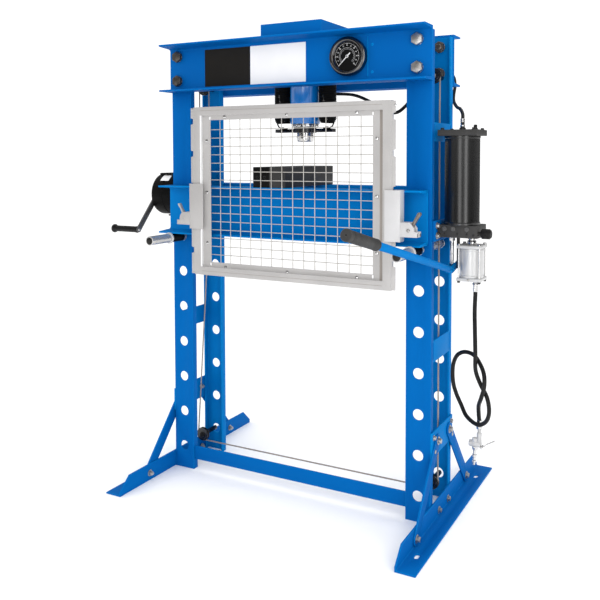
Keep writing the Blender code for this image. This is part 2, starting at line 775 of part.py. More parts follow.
def make_cylinder():
    outer = CYLINDER_DIAMETER / 2
    inner = outer - CYLINDER_WALL
    neck = ROD_DIAMETER / 2 + GAP
    height = BOX_TOP - BOX_WALL - GAP - CYLINDER_BOTTOM
    profile = [
        (outer, height),
        (outer, 0),
        (neck, 0),
        (neck, GLAND_HEIGHT),
        (inner, GLAND_HEIGHT),
        (inner, height),
    ]
    barrel = turned_part(
        "cylinder_barrel", profile, "blue_paint", (0, 0, CYLINDER_BOTTOM), (0, 0, 1)
    )
    start, end = port_point(-CYLINDER_WALL / 2), port_point(PORT_REACH)
    join(barrel, rod(start, end, PORT_DIAMETER / 2, segments=16))


def port_point(reach):
    """A point on the oil port's axis, outwards from the cylinder's wall."""
    radius = CYLINDER_DIAMETER / 2 + reach
    x, y = radius * math.cos(PORT_TURN), radius * math.sin(PORT_TURN)
    return Vector((x, y, CYLINDER_BOTTOM + PORT_HEIGHT))


def make_ram():
    """The piston, its rod and the nose that presses, as one turned piece."""
    rod_radius = ROD_DIAMETER / 2
    piston = CYLINDER_DIAMETER / 2 - CYLINDER_WALL - GAP
    top = BOX_TOP - 2 * BOX_WALL - GAP - NOSE_BOTTOM
    shoulder = top - PISTON_HEIGHT
    profile = [
        (0, top),
        (piston, top),
        (piston, shoulder),
        (rod_radius, shoulder),
        (rod_radius, NOSE_CHAMFER),
        (rod_radius - NOSE_CHAMFER, 0),
        (0, 0),
    ]
    turned_part("ram", profile, "bright_steel", (0, 0, NOSE_BOTTOM), (0, 0, 1), RAM)


def make_yoke():
    """The bar around the ram's nose that the springs pull up on."""
    half = YOKE_WIDTH / 2
    depth = YOKE_DEPTH / 2
    mesh = box((-half, -depth, YOKE_TOP - YOKE_HEIGHT), (half, depth, YOKE_TOP))
    yoke = part("spring_yoke", mesh, "black_paint", RAM)
    bottom = YOKE_TOP - YOKE_HEIGHT - YOKE_HUB_BELOW
    top = bottom + YOKE_HUB_HEIGHT
    join(yoke, rod((0, 0, bottom), (0, 0, top), YOKE_HUB_DIAMETER / 2, segments=32))
    cut(yoke, bore((0, 0, bottom - PAST), (0, 0, top + PAST), ROD_DIAMETER / 2 + GAP, 32))


def make_springs():
    """Return springs: coils under the crown box, each with a straight hook down to the yoke."""
    radius = (SPRING_DIAMETER - SPRING_WIRE) / 2
    low = YOKE_TOP + SPRING_HOOK
    high = BOX_BOTTOM - GAP - SPRING_WIRE / 2
    per_turn = 10
    steps = SPRING_TURNS * per_turn
    for side, name in ((-1, "left"), (1, "right")):
        x = side * SPRING_SPACING / 2
        hook = [(x, 0, YOKE_TOP + GAP), (x, 0, low - SPRING_WIRE), (x + radius / 2, 0, low)]
        coil = []
        for step in range(steps + 1):
            angle = 2 * math.pi * step / per_turn
            height = low + (high - low) * step / steps
            coil.append((x + radius * math.cos(angle), radius * math.sin(angle), height))
        tube_part(f"return_spring_{name}", hook + coil, SPRING_WIRE, "black_paint", 1, RAM)


# Bed


def make_bed():
    length = FRAME_WIDTH - BED_SHORTER
    channels = {}
    for row, name in ((-1, "front"), (1, "rear")):
        channels[name] = channel(
            f"bed_channel_{name}", row, length, BED_OFFSET, BED_BOTTOM, BED_HEIGHT,
            BED_WEB_Y, BED_REACH, BED_WEB, BED_FLANGE, BED,
        )
    outer = POST_INNER - SPACER_INSET
    low, high = BED_BOTTOM + SPACER_EDGE, BED_TOP - SPACER_EDGE
    depth = (GAP - BED_WEB_Y, BED_WEB_Y + BED_WEB / 2)
    planes = {-1: LEFT_UPPER_PLANE, 1: ROPE_PLANE}
    ends = {-1: PULLEY_X + PULLEY_PITCH / 2, 1: PULLEY_X - PULLEY_PITCH / 2}
    for side in (-1, 1):
        spacer = side_box(side, (outer - SPACER_WIDTH, outer), depth, (low, high))
        lug_y = (planes[side] - LUG_WIDTH / 2, planes[side] + LUG_WIDTH / 2)
        lug_x = (outer - SPACER_WIDTH / 2, ends[side] + LUG_WIDTH / 2)
        lug = side_box(side, lug_x, lug_y, (LUG_TOP - LUG_HEIGHT, LUG_TOP))
        join(channels["rear"], spacer, lug)
        rope = (side * ends[side], planes[side])
        hole = ((*rope, LUG_TOP - LUG_HEIGHT - PAST), (*rope, LUG_TOP + PAST))
        cut(channels["rear"], bore(*hole, ROPE_DIAMETER / 2 + 2 * GAP, 12))


def make_press_bars():
    half = BAR_LENGTH / 2
    for index, name in enumerate(("right", "left")):
        high = BAR_RIGHT_EDGE - index * (BAR_WIDTH + GAP)
        mesh = box((high - BAR_WIDTH, -half, BED_TOP + GAP), (high, half, BAR_TOP))
        soften(part(f"press_bar_{name}", mesh, "bar_steel", BED), BAR_CHAMFER)


def make_bed_pins():
    radius = PIN_DIAMETER / 2
    collar = COLLAR_DIAMETER / 2
    front = BED_TIP_Y + PIN_FRONT
    length = front + BED_TIP_Y - PIN_BACK
    collar_end = PIN_FRONT - GAP
    profile = [
        (0, length),
        (radius - PIN_CHAMFER, length),
        (radius, length - PIN_CHAMFER),
        (radius, collar_end),
        (collar, collar_end),
        (collar, collar_end - COLLAR_WIDTH),
        (radius, collar_end - COLLAR_WIDTH),
        (radius, PIN_CHAMFER),
        (radius - PIN_CHAMFER, 0),
        (0, 0),
    ]
    for holder, side, name in ((PIN_LEFT, -1, "left"), (PIN_RIGHT, 1, "right")):
        place = (side * HOLE_X, -front, PIN_Z)
        turned_part(f"bed_pin_{name}", profile, "bright_steel", place, (0, 1, 0), holder, 24)


# Guard


def make_guard():
    half_width = BAND_OUTER
    half_height = GUARD_HEIGHT / 2
    inner = (half_width - BAND_WIDTH, half_height - BAND_HEIGHT)
    window = (inner[0] - LIP_WIDTH, inner[1] - LIP_HEIGHT)
    back = -GUARD_Y + BAND_DEPTH
    lip = -GUARD_Y + LIP_BACK
    frame = part("guard_frame", guard_box(half_width, half_height, -GUARD_Y, back), "aluminium", GUARD)
    cut(frame, guard_box(*inner, -GUARD_Y - PAST, back + PAST))
    overlap = BAND_WIDTH / 2
    join(frame, guard_box(inner[0] + overlap, inner[1] + overlap, lip, lip + SHEET))
    cut(frame, guard_box(*window, lip - PAST, lip + SHEET + PAST))
    strip_front = -GUARD_Y + STRIP_BACK
    reach = half_width + STRIP_WIDTH
    for side in (-1, 1):
        edges = sorted((side * reach, side * (half_width - overlap)))
        low = (GUARD_OFFSET + edges[0], strip_front, GUARD_Z - half_height + SHEET)
        high = (GUARD_OFFSET + edges[1], strip_front + SHEET, GUARD_Z + half_height - SHEET)
        join(frame, box(low, high))
        cut(frame, together(*(notch_cutter(side, reach, step) for step in range(-2, 3))))
    mesh_size = (window[0] + MESH_MARGIN, window[1] + MESH_MARGIN * 0.9)
    mesh_front = lip + SHEET + GAP
    part("guard_mesh", guard_box(*mesh_size, mesh_front, mesh_front + SHEET), "wire", GUARD)


def guard_box(half_width, half_height, front, back):
    """A box around the guard's middle."""
    low = (GUARD_OFFSET - half_width, front, GUARD_Z - half_height)
    high = (GUARD_OFFSET + half_width, back, GUARD_Z + half_height)
    return box(low, high)


def notch_cutter(side, reach, step):
    """A notch in a strip's outer edge, narrower at its bottom."""
    z = GUARD_Z + NOTCH_MIDDLE + step * NOTCH_PITCH
    y = -GUARD_Y + STRIP_BACK
    x = GUARD_OFFSET + side * reach
    bm = bmesh.new()
    bmesh.ops.create_cube(bm, size=1)
    bmesh.ops.scale(bm, vec=(2 * NOTCH_DEPTH, 3 * SHEET, NOTCH_HEIGHT), verts=bm.verts)
    floor = [vert for vert in bm.verts if vert.co.x * side < 0]
    bmesh.ops.scale(bm, vec=(1, 1, 0.6), verts=floor)
    bmesh.ops.translate(bm, vec=(x, y + SHEET / 2, z), verts=bm.verts)
    return mesh_from(bm)


def bracket_edge(side):
    """How far a guide bracket's outer edge is from the middle, on its side."""
    return side * GUARD_OFFSET + BAND_OUTER + BRACKET_OUTER[side > 0]


def make_guide_brackets():
    """Channels in front of the bed that the guard's edges slide in."""
    front = -GUARD_Y - BRACKET_FRONT - SHEET
    back = -BED_TIP_Y - GAP
    for side, name in ((-1, "left"), (1, "right")):
        edge = bracket_edge(side)
        width = BRACKET_WIDTH[side > 0]
        low = BED_BOTTOM + BRACKET_BOTTOM[side > 0]
        height = (low, low + BRACKET_HEIGHT)
        bracket = part(
            f"guide_bracket_{name}",
            side_box(side, (edge - width, edge), (front, back), height),
            "aluminium",
            BED,
        )
        inside = (edge - width - PAST, edge - SHEET)
        depth = (front + SHEET, back - SHEET)
        cut(bracket, side_box(side, inside, depth, (low - PAST, height[1] + PAST)))


def latch_places(side):
    """The housing's inner side and bottom, and the lever's pivot, all outwards and up."""
    inner = bracket_edge(side) + GAP
    bottom = BED_BOTTOM + LATCH_BOTTOM[side > 0]
    return inner, bottom, inner + LATCH_PIVOT[0], bottom + LATCH_PIVOT[1]


def make_latches():
    """A housing beside each bracket, with a lever between its two cheeks."""
    front = -GUARD_Y - BRACKET_FRONT - SHEET
    back = -BED_TIP_Y - GAP
    slot = (front + LATCH_CHEEK, back - LATCH_CHEEK)
    levers = {-1: LATCH_LEFT, 1: LATCH_RIGHT}
    for side, name in ((-1, "left"), (1, "right")):
        inner, bottom, pivot_x, pivot_z = latch_places(side)
        height = (bottom, bottom + LATCH_HEIGHT)
        mesh = side_box(side, (inner, inner + LATCH_WIDTH), (front, back), height)
        housing = part(f"latch_housing_{name}", mesh, "aluminium", BED)
        radius = LATCH_LEVER_WIDTH / 2
        floor = pivot_z - radius - PIN_PLAY
        open_space = (inner + SHEET, inner + LATCH_WIDTH + PAST)
        cut(housing, side_box(side, open_space, slot, (floor, height[1] + PAST)))
        tip = (
            side * (pivot_x + LATCH_LEVER_REACH * math.sin(LATCH_LEVER_LEAN)),
            pivot_z + LATCH_LEVER_REACH * math.cos(LATCH_LEVER_LEAN),
        )
        outline = capsule((side * pivot_x, pivot_z), tip, radius, steps=6)
        part(
            f"latch_lever_{name}",
            front_plate(outline, slot[0] + GAP, slot[1] - slot[0] - 2 * GAP),
            "aluminium",
            levers[side],
        )


# Gauge


def make_gauge():
    radius = GAUGE_DIAMETER / 2
    face = radius - GAUGE_RIM
    profile = [
        (0, GAUGE_DEPTH - GAUGE_RECESS),
        (face, GAUGE_DEPTH - GAUGE_RECESS),
        (face, GAUGE_DEPTH),
        (radius, GAUGE_DEPTH),
        (radius, 0),
        (0, 0),
    ]
    x, z = GAUGE_PLACE[0], BEAM_BOTTOM + GAUGE_PLACE[1]
    back = -BEAM_WEB_Y - BEAM_WEB - GAP
    turned_part("gauge_case", profile, "dial", (x, back, z), (0, -1, 0), steps=40)
    dial = back - GAUGE_DEPTH + GAUGE_RECESS - GAP
    heading = Vector((math.sin(NEEDLE_REST), math.cos(NEEDLE_REST)))
    middle = Vector((x, z))
    tip = middle + heading * NEEDLE_LENGTH
    tail = middle - heading * NEEDLE_TAIL
    outline = capsule(tail, tip, NEEDLE_WIDTH / 2, steps=4)
    part("gauge_needle", front_plate(outline, dial - NEEDLE_WALL, NEEDLE_WALL), "needle", NEEDLE)


# Rope, pulleys and winch


def make_pulleys():
    """Each pulley turns with a spindle that reaches the rear post behind it."""
    radius = PULLEY_DIAMETER / 2
    groove = (PULLEY_PITCH - ROPE_DIAMETER) / 2 - 2 * GAP
    spindle = SPINDLE_DIAMETER / 2
    half = PULLEY_WIDTH / 2
    flat = ROPE_DIAMETER / 2 + GAP
    seat = HALF_DEPTH - POST_WALL - GAP
    for holder, level in PULLEYS.items():
        side_name, height_name = level
        place = place_of(holder)
        reach = seat - place.y + half
        profile = [
            (0, reach),
            (spindle, reach),
            (spindle, 2 * half),
            (radius, 2 * half),
            (groove, half + flat),
            (groove, half - flat),
            (radius, 0),
            (0, 0),
        ]
        turned_part(
            f"{height_name}_pulley_{side_name}",
            profile,
            "black_paint",
            place - Vector((0, half, 0)),
            (0, 1, 0),
            holder,
            24,
        )


def make_rope():
    """One rope: through the bed's left lug, around the pulleys, past the drum, to its right lug."""
    pitch = PULLEY_PITCH / 2
    drum_x = -DRUM_X - 2 * DRUM_RIM
    half_turn = math.pi
    left_top = (-PULLEY_X, LEFT_UPPER_PLANE, UPPER_PULLEY_Z)
    right_top = (PULLEY_X, ROPE_PLANE, UPPER_PULLEY_Z)
    left_foot = (-PULLEY_X, ROPE_PLANE, LOWER_PULLEY_HEIGHT)
    right_foot = (PULLEY_X, ROPE_PLANE, LOWER_PULLEY_HEIGHT)
    points = [
        (-PULLEY_X - pitch, LEFT_UPPER_PLANE, LUG_TOP - LUG_HEIGHT),
        *arc(left_top, pitch, half_turn, 0, 12),
        (drum_x, ROPE_PLANE, WINCH_Z),
        *arc(left_foot, pitch, half_turn, 1.5 * half_turn, 6),
        *arc(right_foot, pitch, -half_turn / 2, 0, 6),
        *arc(right_top, pitch, 0, half_turn, 12),
        (PULLEY_X - pitch, ROPE_PLANE, LUG_TOP - LUG_HEIGHT),
    ]
    tube_part("wire_rope", points, ROPE_DIAMETER, "wire", 1)


def make_winch():
    """The housing on the left uprights, with a bore for the drum's shaft."""
    depth, height = WINCH_BASE
    y = -WINCH_FORWARD
    inner = HALF_WIDTH + GAP
    low, high = y - depth / 2, y + depth / 2
    rise = (WINCH_Z - height / 2, WINCH_Z + height / 2)
    base = side_box(-1, (inner, inner + PLATE_WALL), (low, high), rise)
    housing = part("winch_housing", base, "black_paint")
    start = (-inner - PLATE_WALL / 2, y, WINCH_Z)
    end = (-WINCH_FACE, y, WINCH_Z)
    join(housing, rod(start, end, WINCH_DIAMETER / 2, segments=40))
    through = ((-inner + PAST, y, WINCH_Z), (-WINCH_FACE - PAST, y, WINCH_Z))
    cut(housing, bore(*through, SHAFT_DIAMETER / 2 + SHAFT_PLAY))


def make_crank():
    """The drum, its shaft, the arm and the grip's spindle, which all turn as one."""
    y = -WINCH_FORWARD
    inner = DRUM_X
    outer = DRUM_X + DRUM_LENGTH
    arm = WINCH_FACE + GAP
    rim = DRUM_RIM_DIAMETER / 2
    drum = DRUM_DIAMETER / 2
    shaft = SHAFT_DIAMETER / 2
    profile = [
        (0, arm + CRANK_WALL / 2),
        (shaft, arm + CRANK_WALL / 2),
        (shaft, outer),
        (rim, outer),
        (rim, outer - DRUM_RIM),
        (drum, outer - DRUM_RIM),
        (drum, inner + DRUM_RIM),
        (rim, inner + DRUM_RIM),
        (rim, inner),
        (0, inner),
    ]
    crank = turned_part("winch_crank", profile, "grey_casting", (0, y, WINCH_Z), (-1, 0, 0), CRANK)
    grip_y, grip_z = y - CRANK_ARM[0], WINCH_Z - CRANK_ARM[1]
    outline = capsule((y, WINCH_Z), (grip_y, grip_z), CRANK_WIDTH / 2)
    join(crank, plate(outline, -arm, -CRANK_WALL))
    spindle = rod(
        (-arm - CRANK_WALL / 2, grip_y, grip_z),
        (-arm - CRANK_WALL - GRIP_LENGTH, grip_y, grip_z),
        GRIP_SPINDLE / 2,
        segments=16,
    )
    join(crank, spindle)


def make_crank_grip():
    hollow = GRIP_SPINDLE / 2 + 2 * GAP
    radius = GRIP_DIAMETER / 2
    flare = GRIP_FLARE / 2
    length = GRIP_LENGTH
    full, narrows, ends = GRIP_FLANGE
    collar, taper, proud = GRIP_COLLAR
    profile = [
        (hollow, length),
        (flare * 0.7, length),
        (flare, length - full),
        (flare, length - narrows),
        (radius, length - ends),
        (radius * 0.92, length / 2),
        (radius, taper),
        (radius + proud, collar),
        (radius + proud, 0),
        (hollow, 0),
    ]
    x = -(WINCH_FACE + CRANK_WALL + 2 * GAP)
    place = (x, -WINCH_FORWARD - CRANK_ARM[0], WINCH_Z - CRANK_ARM[1])
    turned_part("crank_grip", profile, "plastic", place, (-1, 0, 0), CRANK_GRIP, 24)


# Pump


def make_pump_bracket():
    width, depth, height = PUMP_BRACKET
    inner = HALF_WIDTH + GAP
    middle = BLOCK_BOTTOM + BLOCK_SIZE[2] / 2
    rows = (-depth / 2, depth / 2)
    mesh = side_box(1, (inner, inner + width), rows, (middle - height / 2, middle + height / 2))
    part("pump_bracket", mesh, "blue_paint")


def make_valve_block():
    """The pump's block, with the hanger that the hand lever swings on."""
    length, depth, _ = BLOCK_SIZE
    middle = -PUMP_FORWARD
    low = (BLOCK_LEFT, middle - depth / 2, BLOCK_BOTTOM)
    high = (BLOCK_LEFT + length, middle + depth / 2, BLOCK_TOP)
    block = part("valve_block", box(low, high), "grey_casting")
    hanger_x = LEVER_X + CLEVIS_WIDTH / 2 + GAP
    hanger = box(
        (hanger_x, LEVER_Y - HANGER_DEPTH / 2, LEVER_Z - HANGER_DEPTH / 2),
        (hanger_x + HANGER_WIDTH, LEVER_Y + HANGER_DEPTH / 2, BLOCK_BOTTOM + PAST),
    )
    join(block, hanger)
    pivot = (LEVER_Y, LEVER_Z)
    start = (hanger_x - PAST, *pivot)
    end = (hanger_x + HANGER_WIDTH + PAST, *pivot)
    cut(block, bore(start, end, LEVER_PIN / 2 + GAP, 16))
    x, y = LEVER_X, LEVER_Y - PLUNGER_FORWARD
    depth = PLUNGER_SUNK + PLUNGER_TRAVEL + 2 * GAP
    start, end = (x, y, BLOCK_BOTTOM - PAST), (x, y, BLOCK_BOTTOM + depth)
    cut(block, bore(start, end, PLUNGER_DIAMETER / 2 + GAP, 16))


def make_tank():
    radius = TANK_DIAMETER / 2
    base = BLOCK_TOP + GAP
    centre = (PUMP_X, -PUMP_FORWARD)
    top = base + TANK_HEIGHT
    tank = part("pump_tank", rod((*centre, base), (*centre, top), radius, segments=40), "black_paint")
    half = TANK_PLATE[0] / 2
    low = (centre[0] - half, centre[1] - half, top - GAP)
    high = (centre[0] + half, centre[1] + half, TANK_TOP)
    start, end = (*centre, TANK_TOP - PAST), (*centre, TANK_TOP + FILLER_HEIGHT)
    filler = rod(start, end, FILLER_DIAMETER / 2, segments=16)
    join(tank, box(low, high), filler)


def make_air_motor():
    """The air cylinder under the block: neck, upper flange, barrel, lower flange and inlet."""
    neck, neck_height = MOTOR_NECK
    flange, flange_height = MOTOR_FLANGE
    top = BLOCK_BOTTOM - GAP - MOTOR_BOTTOM
    upper = top - neck_height
    profile = [
        (0, top),
        (neck / 2, top),
        (neck / 2, upper),
        (flange / 2, upper),
        (flange / 2, upper - flange_height),
        (MOTOR_DIAMETER / 2, upper - flange_height),
        (MOTOR_DIAMETER / 2, flange_height),
        (flange / 2, flange_height),
        (flange / 2, 0),
        (0, 0),
    ]
    place = (MOTOR_X, -PUMP_FORWARD, MOTOR_BOTTOM)
    motor = turned_part("air_motor", profile, "aluminium", place, (0, 0, 1))
    inlet_x = MOTOR_X + INLET_OFFSET
    start = (inlet_x, -PUMP_FORWARD, MOTOR_BOTTOM + flange_height / 2)
    end = (inlet_x, -PUMP_FORWARD, MOTOR_BOTTOM - INLET_SIZE[1])
    join(motor, rod(start, end, INLET_SIZE[0] / 2, segments=12))


def make_release_knob():
    neck, neck_length = KNOB_NECK
    size, length = KNOB_SIZE
    total = neck_length + length
    profile = [
        (0, total),
        (size / 2 - KNOB_CHAMFER, total),
        (size / 2, total - KNOB_CHAMFER),
        (size / 2, neck_length + KNOB_CHAMFER),
        (size / 2 - KNOB_CHAMFER, neck_length),
        (neck / 2, neck_length),
        (neck / 2, 0),
        (0, 0),
    ]
    turned_part("release_knob", profile, "plastic", place_of(KNOB), (1, 0, 0), KNOB, 24)


def make_pump_lever():
    """The hand lever: its fork hangs on a pin through the block's hanger, around the plunger."""
    run = Vector((0, -math.cos(LEVER_SLOPE), math.sin(LEVER_SLOPE)))
    below = Vector((LEVER_X, LEVER_Y, LEVER_Z - LEVER_DROP))
    start = below + run * LEVER_TUBE_START
    grip_width, grip_length = LEVER_GRIP
    tip = below + run * LEVER_LENGTH
    tube = rod(start, tip, LEVER_DIAMETER / 2, segments=16)
    lever = part("pump_lever", tube, "blue_paint", LEVER)
    lap = start + run * CHEEK_LAP
    outline = capsule((LEVER_Y, LEVER_Z), (lap.y, lap.z), CHEEK_HEIGHT / 2, steps=6)
    outer = CLEVIS_WIDTH / 2
    join(lever, plate(outline, LEVER_X - outer, CHEEK_WALL))
    join(lever, plate(outline, LEVER_X + outer - CHEEK_WALL, CHEEK_WALL))
    join(lever, rod(tip - run * grip_length, tip + run * GAP, grip_width / 2, segments=20))
    pin_start = LEVER_X - outer + CHEEK_WALL / 2
    pin_end = LEVER_X + outer + 2 * GAP + HANGER_WIDTH
    pin = rod((pin_start, LEVER_Y, LEVER_Z), (pin_end, LEVER_Y, LEVER_Z), LEVER_PIN / 2, segments=16)
    join(lever, pin)
    x, y = LEVER_X, LEVER_Y - PLUNGER_FORWARD
    low, high = LEVER_Z - PLUNGER_BELOW_PIVOT, BLOCK_BOTTOM + PLUNGER_SUNK
    plunger = rod((x, y, low), (x, y, high), PLUNGER_DIAMETER / 2, segments=16)
    part("hand_pump_plunger", plunger, "bright_steel", PLUNGER)


# Hoses


def make_oil_hose():
    start = Vector((PUMP_X, -PUMP_FORWARD, TANK_TOP + FILLER_HEIGHT + GAP))
    end = port_point(PORT_REACH + GAP)
    before_end = port_point(PORT_REACH + OIL_HOSE_DIAMETER)
    middle = [
        Vector((x + PUMP_SHIFT, y, z + CYLINDER_SHIFT)) for x, y, z in OIL_HOSE_MIDDLE
    ]
    route = [start, start + Vector((0, 0, HOSE_STRAIGHT)), *middle, before_end, end]
    points = smooth_route(route, 2.2 * OIL_HOSE_DIAMETER)
    tube_part("oil_hose", points, OIL_HOSE_DIAMETER, "rubber", 2)


def make_air_hose():
    start = Vector((MOTOR_X + INLET_OFFSET, -PUMP_FORWARD, MOTOR_BOTTOM - INLET_SIZE[1] - GAP))
    middle = [Vector((x + PUMP_SHIFT, y, z)) for x, y, z in AIR_HOSE_MIDDLE]
    down = Vector((0, 0, -HOSE_STRAIGHT))
    end = middle[-1] + down
    points = smooth_route([start, start + down, *middle, end], 2.4 * AIR_HOSE_DIAMETER)
    tube_part("air_hose", points, AIR_HOSE_DIAMETER, "rubber", 2)
    x, y, top = end.x, end.y, end.z - GAP
    neck, neck_height = AIR_VALVE_NECK
    width, depth, height = AIR_VALVE_SIZE
    body_top = top - neck_height
    body_x = x - AIR_VALVE_OFFSET
    low = (body_x - width / 2, y - depth / 2, body_top - height)
    high = (body_x + width / 2, y + depth / 2, body_top)
    body = part("air_valve_body", box(low, high), "bright_steel")
    nipple, nipple_length = AIR_VALVE_NIPPLE
    join(
        body,
        rod((x, y, top), (x, y, body_top - PAST), neck / 2, segments=16),
        rod(
            (body_x, y, body_top - height + PAST),
            (body_x - AIR_NIPPLE_LEAN, y, body_top - height - nipple_length),
            nipple / 2,
            segments=16,
        ),
    )
    pivot = Vector((body_x + (width + AIR_LEVER[0]) / 2 + GAP, y, body_top - height * AIR_PIVOT_SHARE))
    AIR_VALVE_LEVER.location = pivot
    hub, blade, length = AIR_LEVER
    run = Vector((math.sin(AIR_LEVER_LEAN), 0, math.cos(AIR_LEVER_LEAN)))
    across = Vector((0, depth / 2, 0))
    lever = part(
        "air_valve_lever",
        rod(pivot - across, pivot + across, hub / 2, segments=16),
        "bright_steel",
        AIR_VALVE_LEVER,
    )
    join(lever, rod(pivot, pivot + run * length, blade / 2, segments=12))


clear_scene()
PARTS = new_collection("hydraulic_shop_press")
CUTTERS = new_collection("cutters")
BASE = carrier("press_base")
BASE.location = ORIGIN
RAM = carrier("ram_axis", (0, 0, NOSE_BOTTOM), BASE)
BED = carrier("bed_slide", (BED_OFFSET, 0, BED_BOTTOM), BASE)
GUARD = carrier("guard_slide", (GUARD_OFFSET, -GUARD_Y, GUARD_Z), BED)
PIN_LEFT = carrier("left_pin_axis", (-HOLE_X, -BED_TIP_Y - PIN_FRONT, PIN_Z), BASE)
PIN_RIGHT = carrier("right_pin_axis", (HOLE_X, -BED_TIP_Y - PIN_FRONT, PIN_Z), BASE)
LATCH_LEFT = carrier(
    "left_latch_axis", (-latch_places(-1)[2], -GUARD_Y, latch_places(-1)[3]), BED
)
LATCH_RIGHT = carrier(
    "right_latch_axis", (latch_places(1)[2], -GUARD_Y, latch_places(1)[3]), BED
)
NEEDLE = carrier("needle_axis", (GAUGE_PLACE[0], -BEAM_WEB_Y, BEAM_BOTTOM + GAUGE_PLACE[1]), BASE)
CRANK = carrier("crank_axis", (-WINCH_FACE, -WINCH_FORWARD, WINCH_Z), BASE)
CRANK_GRIP = carrier(
    "crank_grip_axis",
    (-WINCH_FACE - CRANK_WALL, -WINCH_FORWARD - CRANK_ARM[0], WINCH_Z - CRANK_ARM[1]),
    CRANK,
)
PULLEYS = {
    carrier("lower_left_axis", (-PULLEY_X, ROPE_PLANE, LOWER_PULLEY_HEIGHT), BASE): ("left", "lower"),
    carrier("lower_right_axis", (PULLEY_X, ROPE_PLANE, LOWER_PULLEY_HEIGHT), BASE): ("right", "lower"),
    carrier("upper_left_axis", (-PULLEY_X, LEFT_UPPER_PLANE, UPPER_PULLEY_Z), BASE): ("left", "upper"),
    carrier("upper_right_axis", (PULLEY_X, ROPE_PLANE, UPPER_PULLEY_Z), BASE): ("right", "upper"),
}
KNOB = carrier(
    "knob_axis",
    (
        BLOCK_LEFT + BLOCK_SIZE[0] + GAP,
        -PUMP_FORWARD - KNOB_FORWARD,
        BLOCK_BOTTOM + KNOB_RISE,
    ),
    BASE,
)
LEVER = carrier("lever_axis", (LEVER_X, LEVER_Y, LEVER_Z), BASE)
PLUNGER = carrier("plunger_axis", (LEVER_X, LEVER_Y - PLUNGER_FORWARD, BLOCK_BOTTOM), BASE)
AIR_VALVE_LEVER = carrier("air_valve_axis", (0, 0, 0), BASE)

make_posts()
make_beams()
make_crown_box()
make_side_plates()
make_braces()
make_feet()
make_tie_bar()
make_cylinder()
make_ram()
make_yoke()
make_springs()
make_bed()
make_press_bars()
make_bed_pins()
make_guard()
make_guide_brackets()
make_latches()
make_gauge()
make_pulleys()
make_rope()
make_winch()
make_crank()
make_crank_grip()
make_pump_bracket()
make_valve_block()
make_tank()
make_air_motor()
make_release_knob()
make_pump_lever()
make_oil_hose()
make_air_hose()
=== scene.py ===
"""The look of a hydraulic shop press: enamelled frame, cylinder, guard, winch, gauge and air pump.

Lengths are in metres, +Z up and +Y to the back. Places are given by the frame's own boxes, or from
the point on the floor under the ram's axis.
"""

import json
from math import atan2, cos, pi, radians, sin, tau

import bmesh
import bpy
from mathutils import Matrix, Vector


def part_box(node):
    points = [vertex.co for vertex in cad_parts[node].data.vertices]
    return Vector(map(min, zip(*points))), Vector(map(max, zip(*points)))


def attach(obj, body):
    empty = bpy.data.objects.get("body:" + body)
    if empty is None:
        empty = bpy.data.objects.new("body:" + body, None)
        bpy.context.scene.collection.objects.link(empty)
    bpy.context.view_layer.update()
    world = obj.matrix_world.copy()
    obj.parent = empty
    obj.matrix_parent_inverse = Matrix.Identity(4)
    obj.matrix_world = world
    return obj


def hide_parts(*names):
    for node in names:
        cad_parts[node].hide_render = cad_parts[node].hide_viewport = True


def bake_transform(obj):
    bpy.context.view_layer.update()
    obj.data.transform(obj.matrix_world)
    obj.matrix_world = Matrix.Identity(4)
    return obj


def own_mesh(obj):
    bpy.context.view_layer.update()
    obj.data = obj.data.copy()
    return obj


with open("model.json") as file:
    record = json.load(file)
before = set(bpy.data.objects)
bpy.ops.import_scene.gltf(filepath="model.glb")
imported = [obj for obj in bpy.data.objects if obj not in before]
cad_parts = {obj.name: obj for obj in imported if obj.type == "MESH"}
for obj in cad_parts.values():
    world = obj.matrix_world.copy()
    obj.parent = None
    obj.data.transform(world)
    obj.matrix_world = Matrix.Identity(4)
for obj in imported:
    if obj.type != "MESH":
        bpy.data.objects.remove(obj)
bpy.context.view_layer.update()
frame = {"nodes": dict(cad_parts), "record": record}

BODY_OF = {
    node: body for body, nodes in frame["record"]["behaviour"]["bodies"].items() for node in nodes
}
RAM_LOW, RAM_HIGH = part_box("ram")
AXIS = Vector(((RAM_LOW.x + RAM_HIGH.x) / 2, (RAM_LOW.y + RAM_HIGH.y) / 2, 0))
X, Y, Z = Vector((1, 0, 0)), Vector((0, 1, 0)), Vector((0, 0, 1))
FRONT = -Y


def at(x, y, z):
    """A place from the point on the floor under the ram's axis."""
    return AXIS + Vector((x, y, z))


# Camera and lights


def place_camera():
    data = bpy.data.cameras.new("camera")
    data.lens = 45.892
    data.sensor_width = 36
    data.shift_y = -0.185
    data.clip_end = 50
    camera = bpy.data.objects.new("camera", data)
    turn, pitch, roll = radians(28.393), radians(2.577), radians(-0.16)
    camera.matrix_world = (
        Matrix.Translation((1.5315, -2.5625, 1.3801))
        @ Matrix.Rotation(turn, 4, "Z")
        @ Matrix.Rotation(pi / 2 - pitch, 4, "X")
        @ Matrix.Rotation(roll, 4, "Z")
    )
    bpy.context.scene.collection.objects.link(camera)
    bpy.context.scene.camera = camera


def soft_light(name, place, target, size, watts, glossy=True):
    data = bpy.data.lights.new(name, "AREA")
    data.shape = "RECTANGLE"
    data.size, data.size_y = size
    data.energy = watts
    light = bpy.data.objects.new(name, data)
    heading = Vector(target) - Vector(place)
    turn = heading.to_track_quat("-Z", "Y").to_matrix().to_4x4()
    light.visible_glossy = glossy
    light.matrix_world = Matrix.Translation(place) @ turn
    bpy.context.scene.collection.objects.link(light)


def cool(tone):
    return (tone, tone, tone * 1.02)


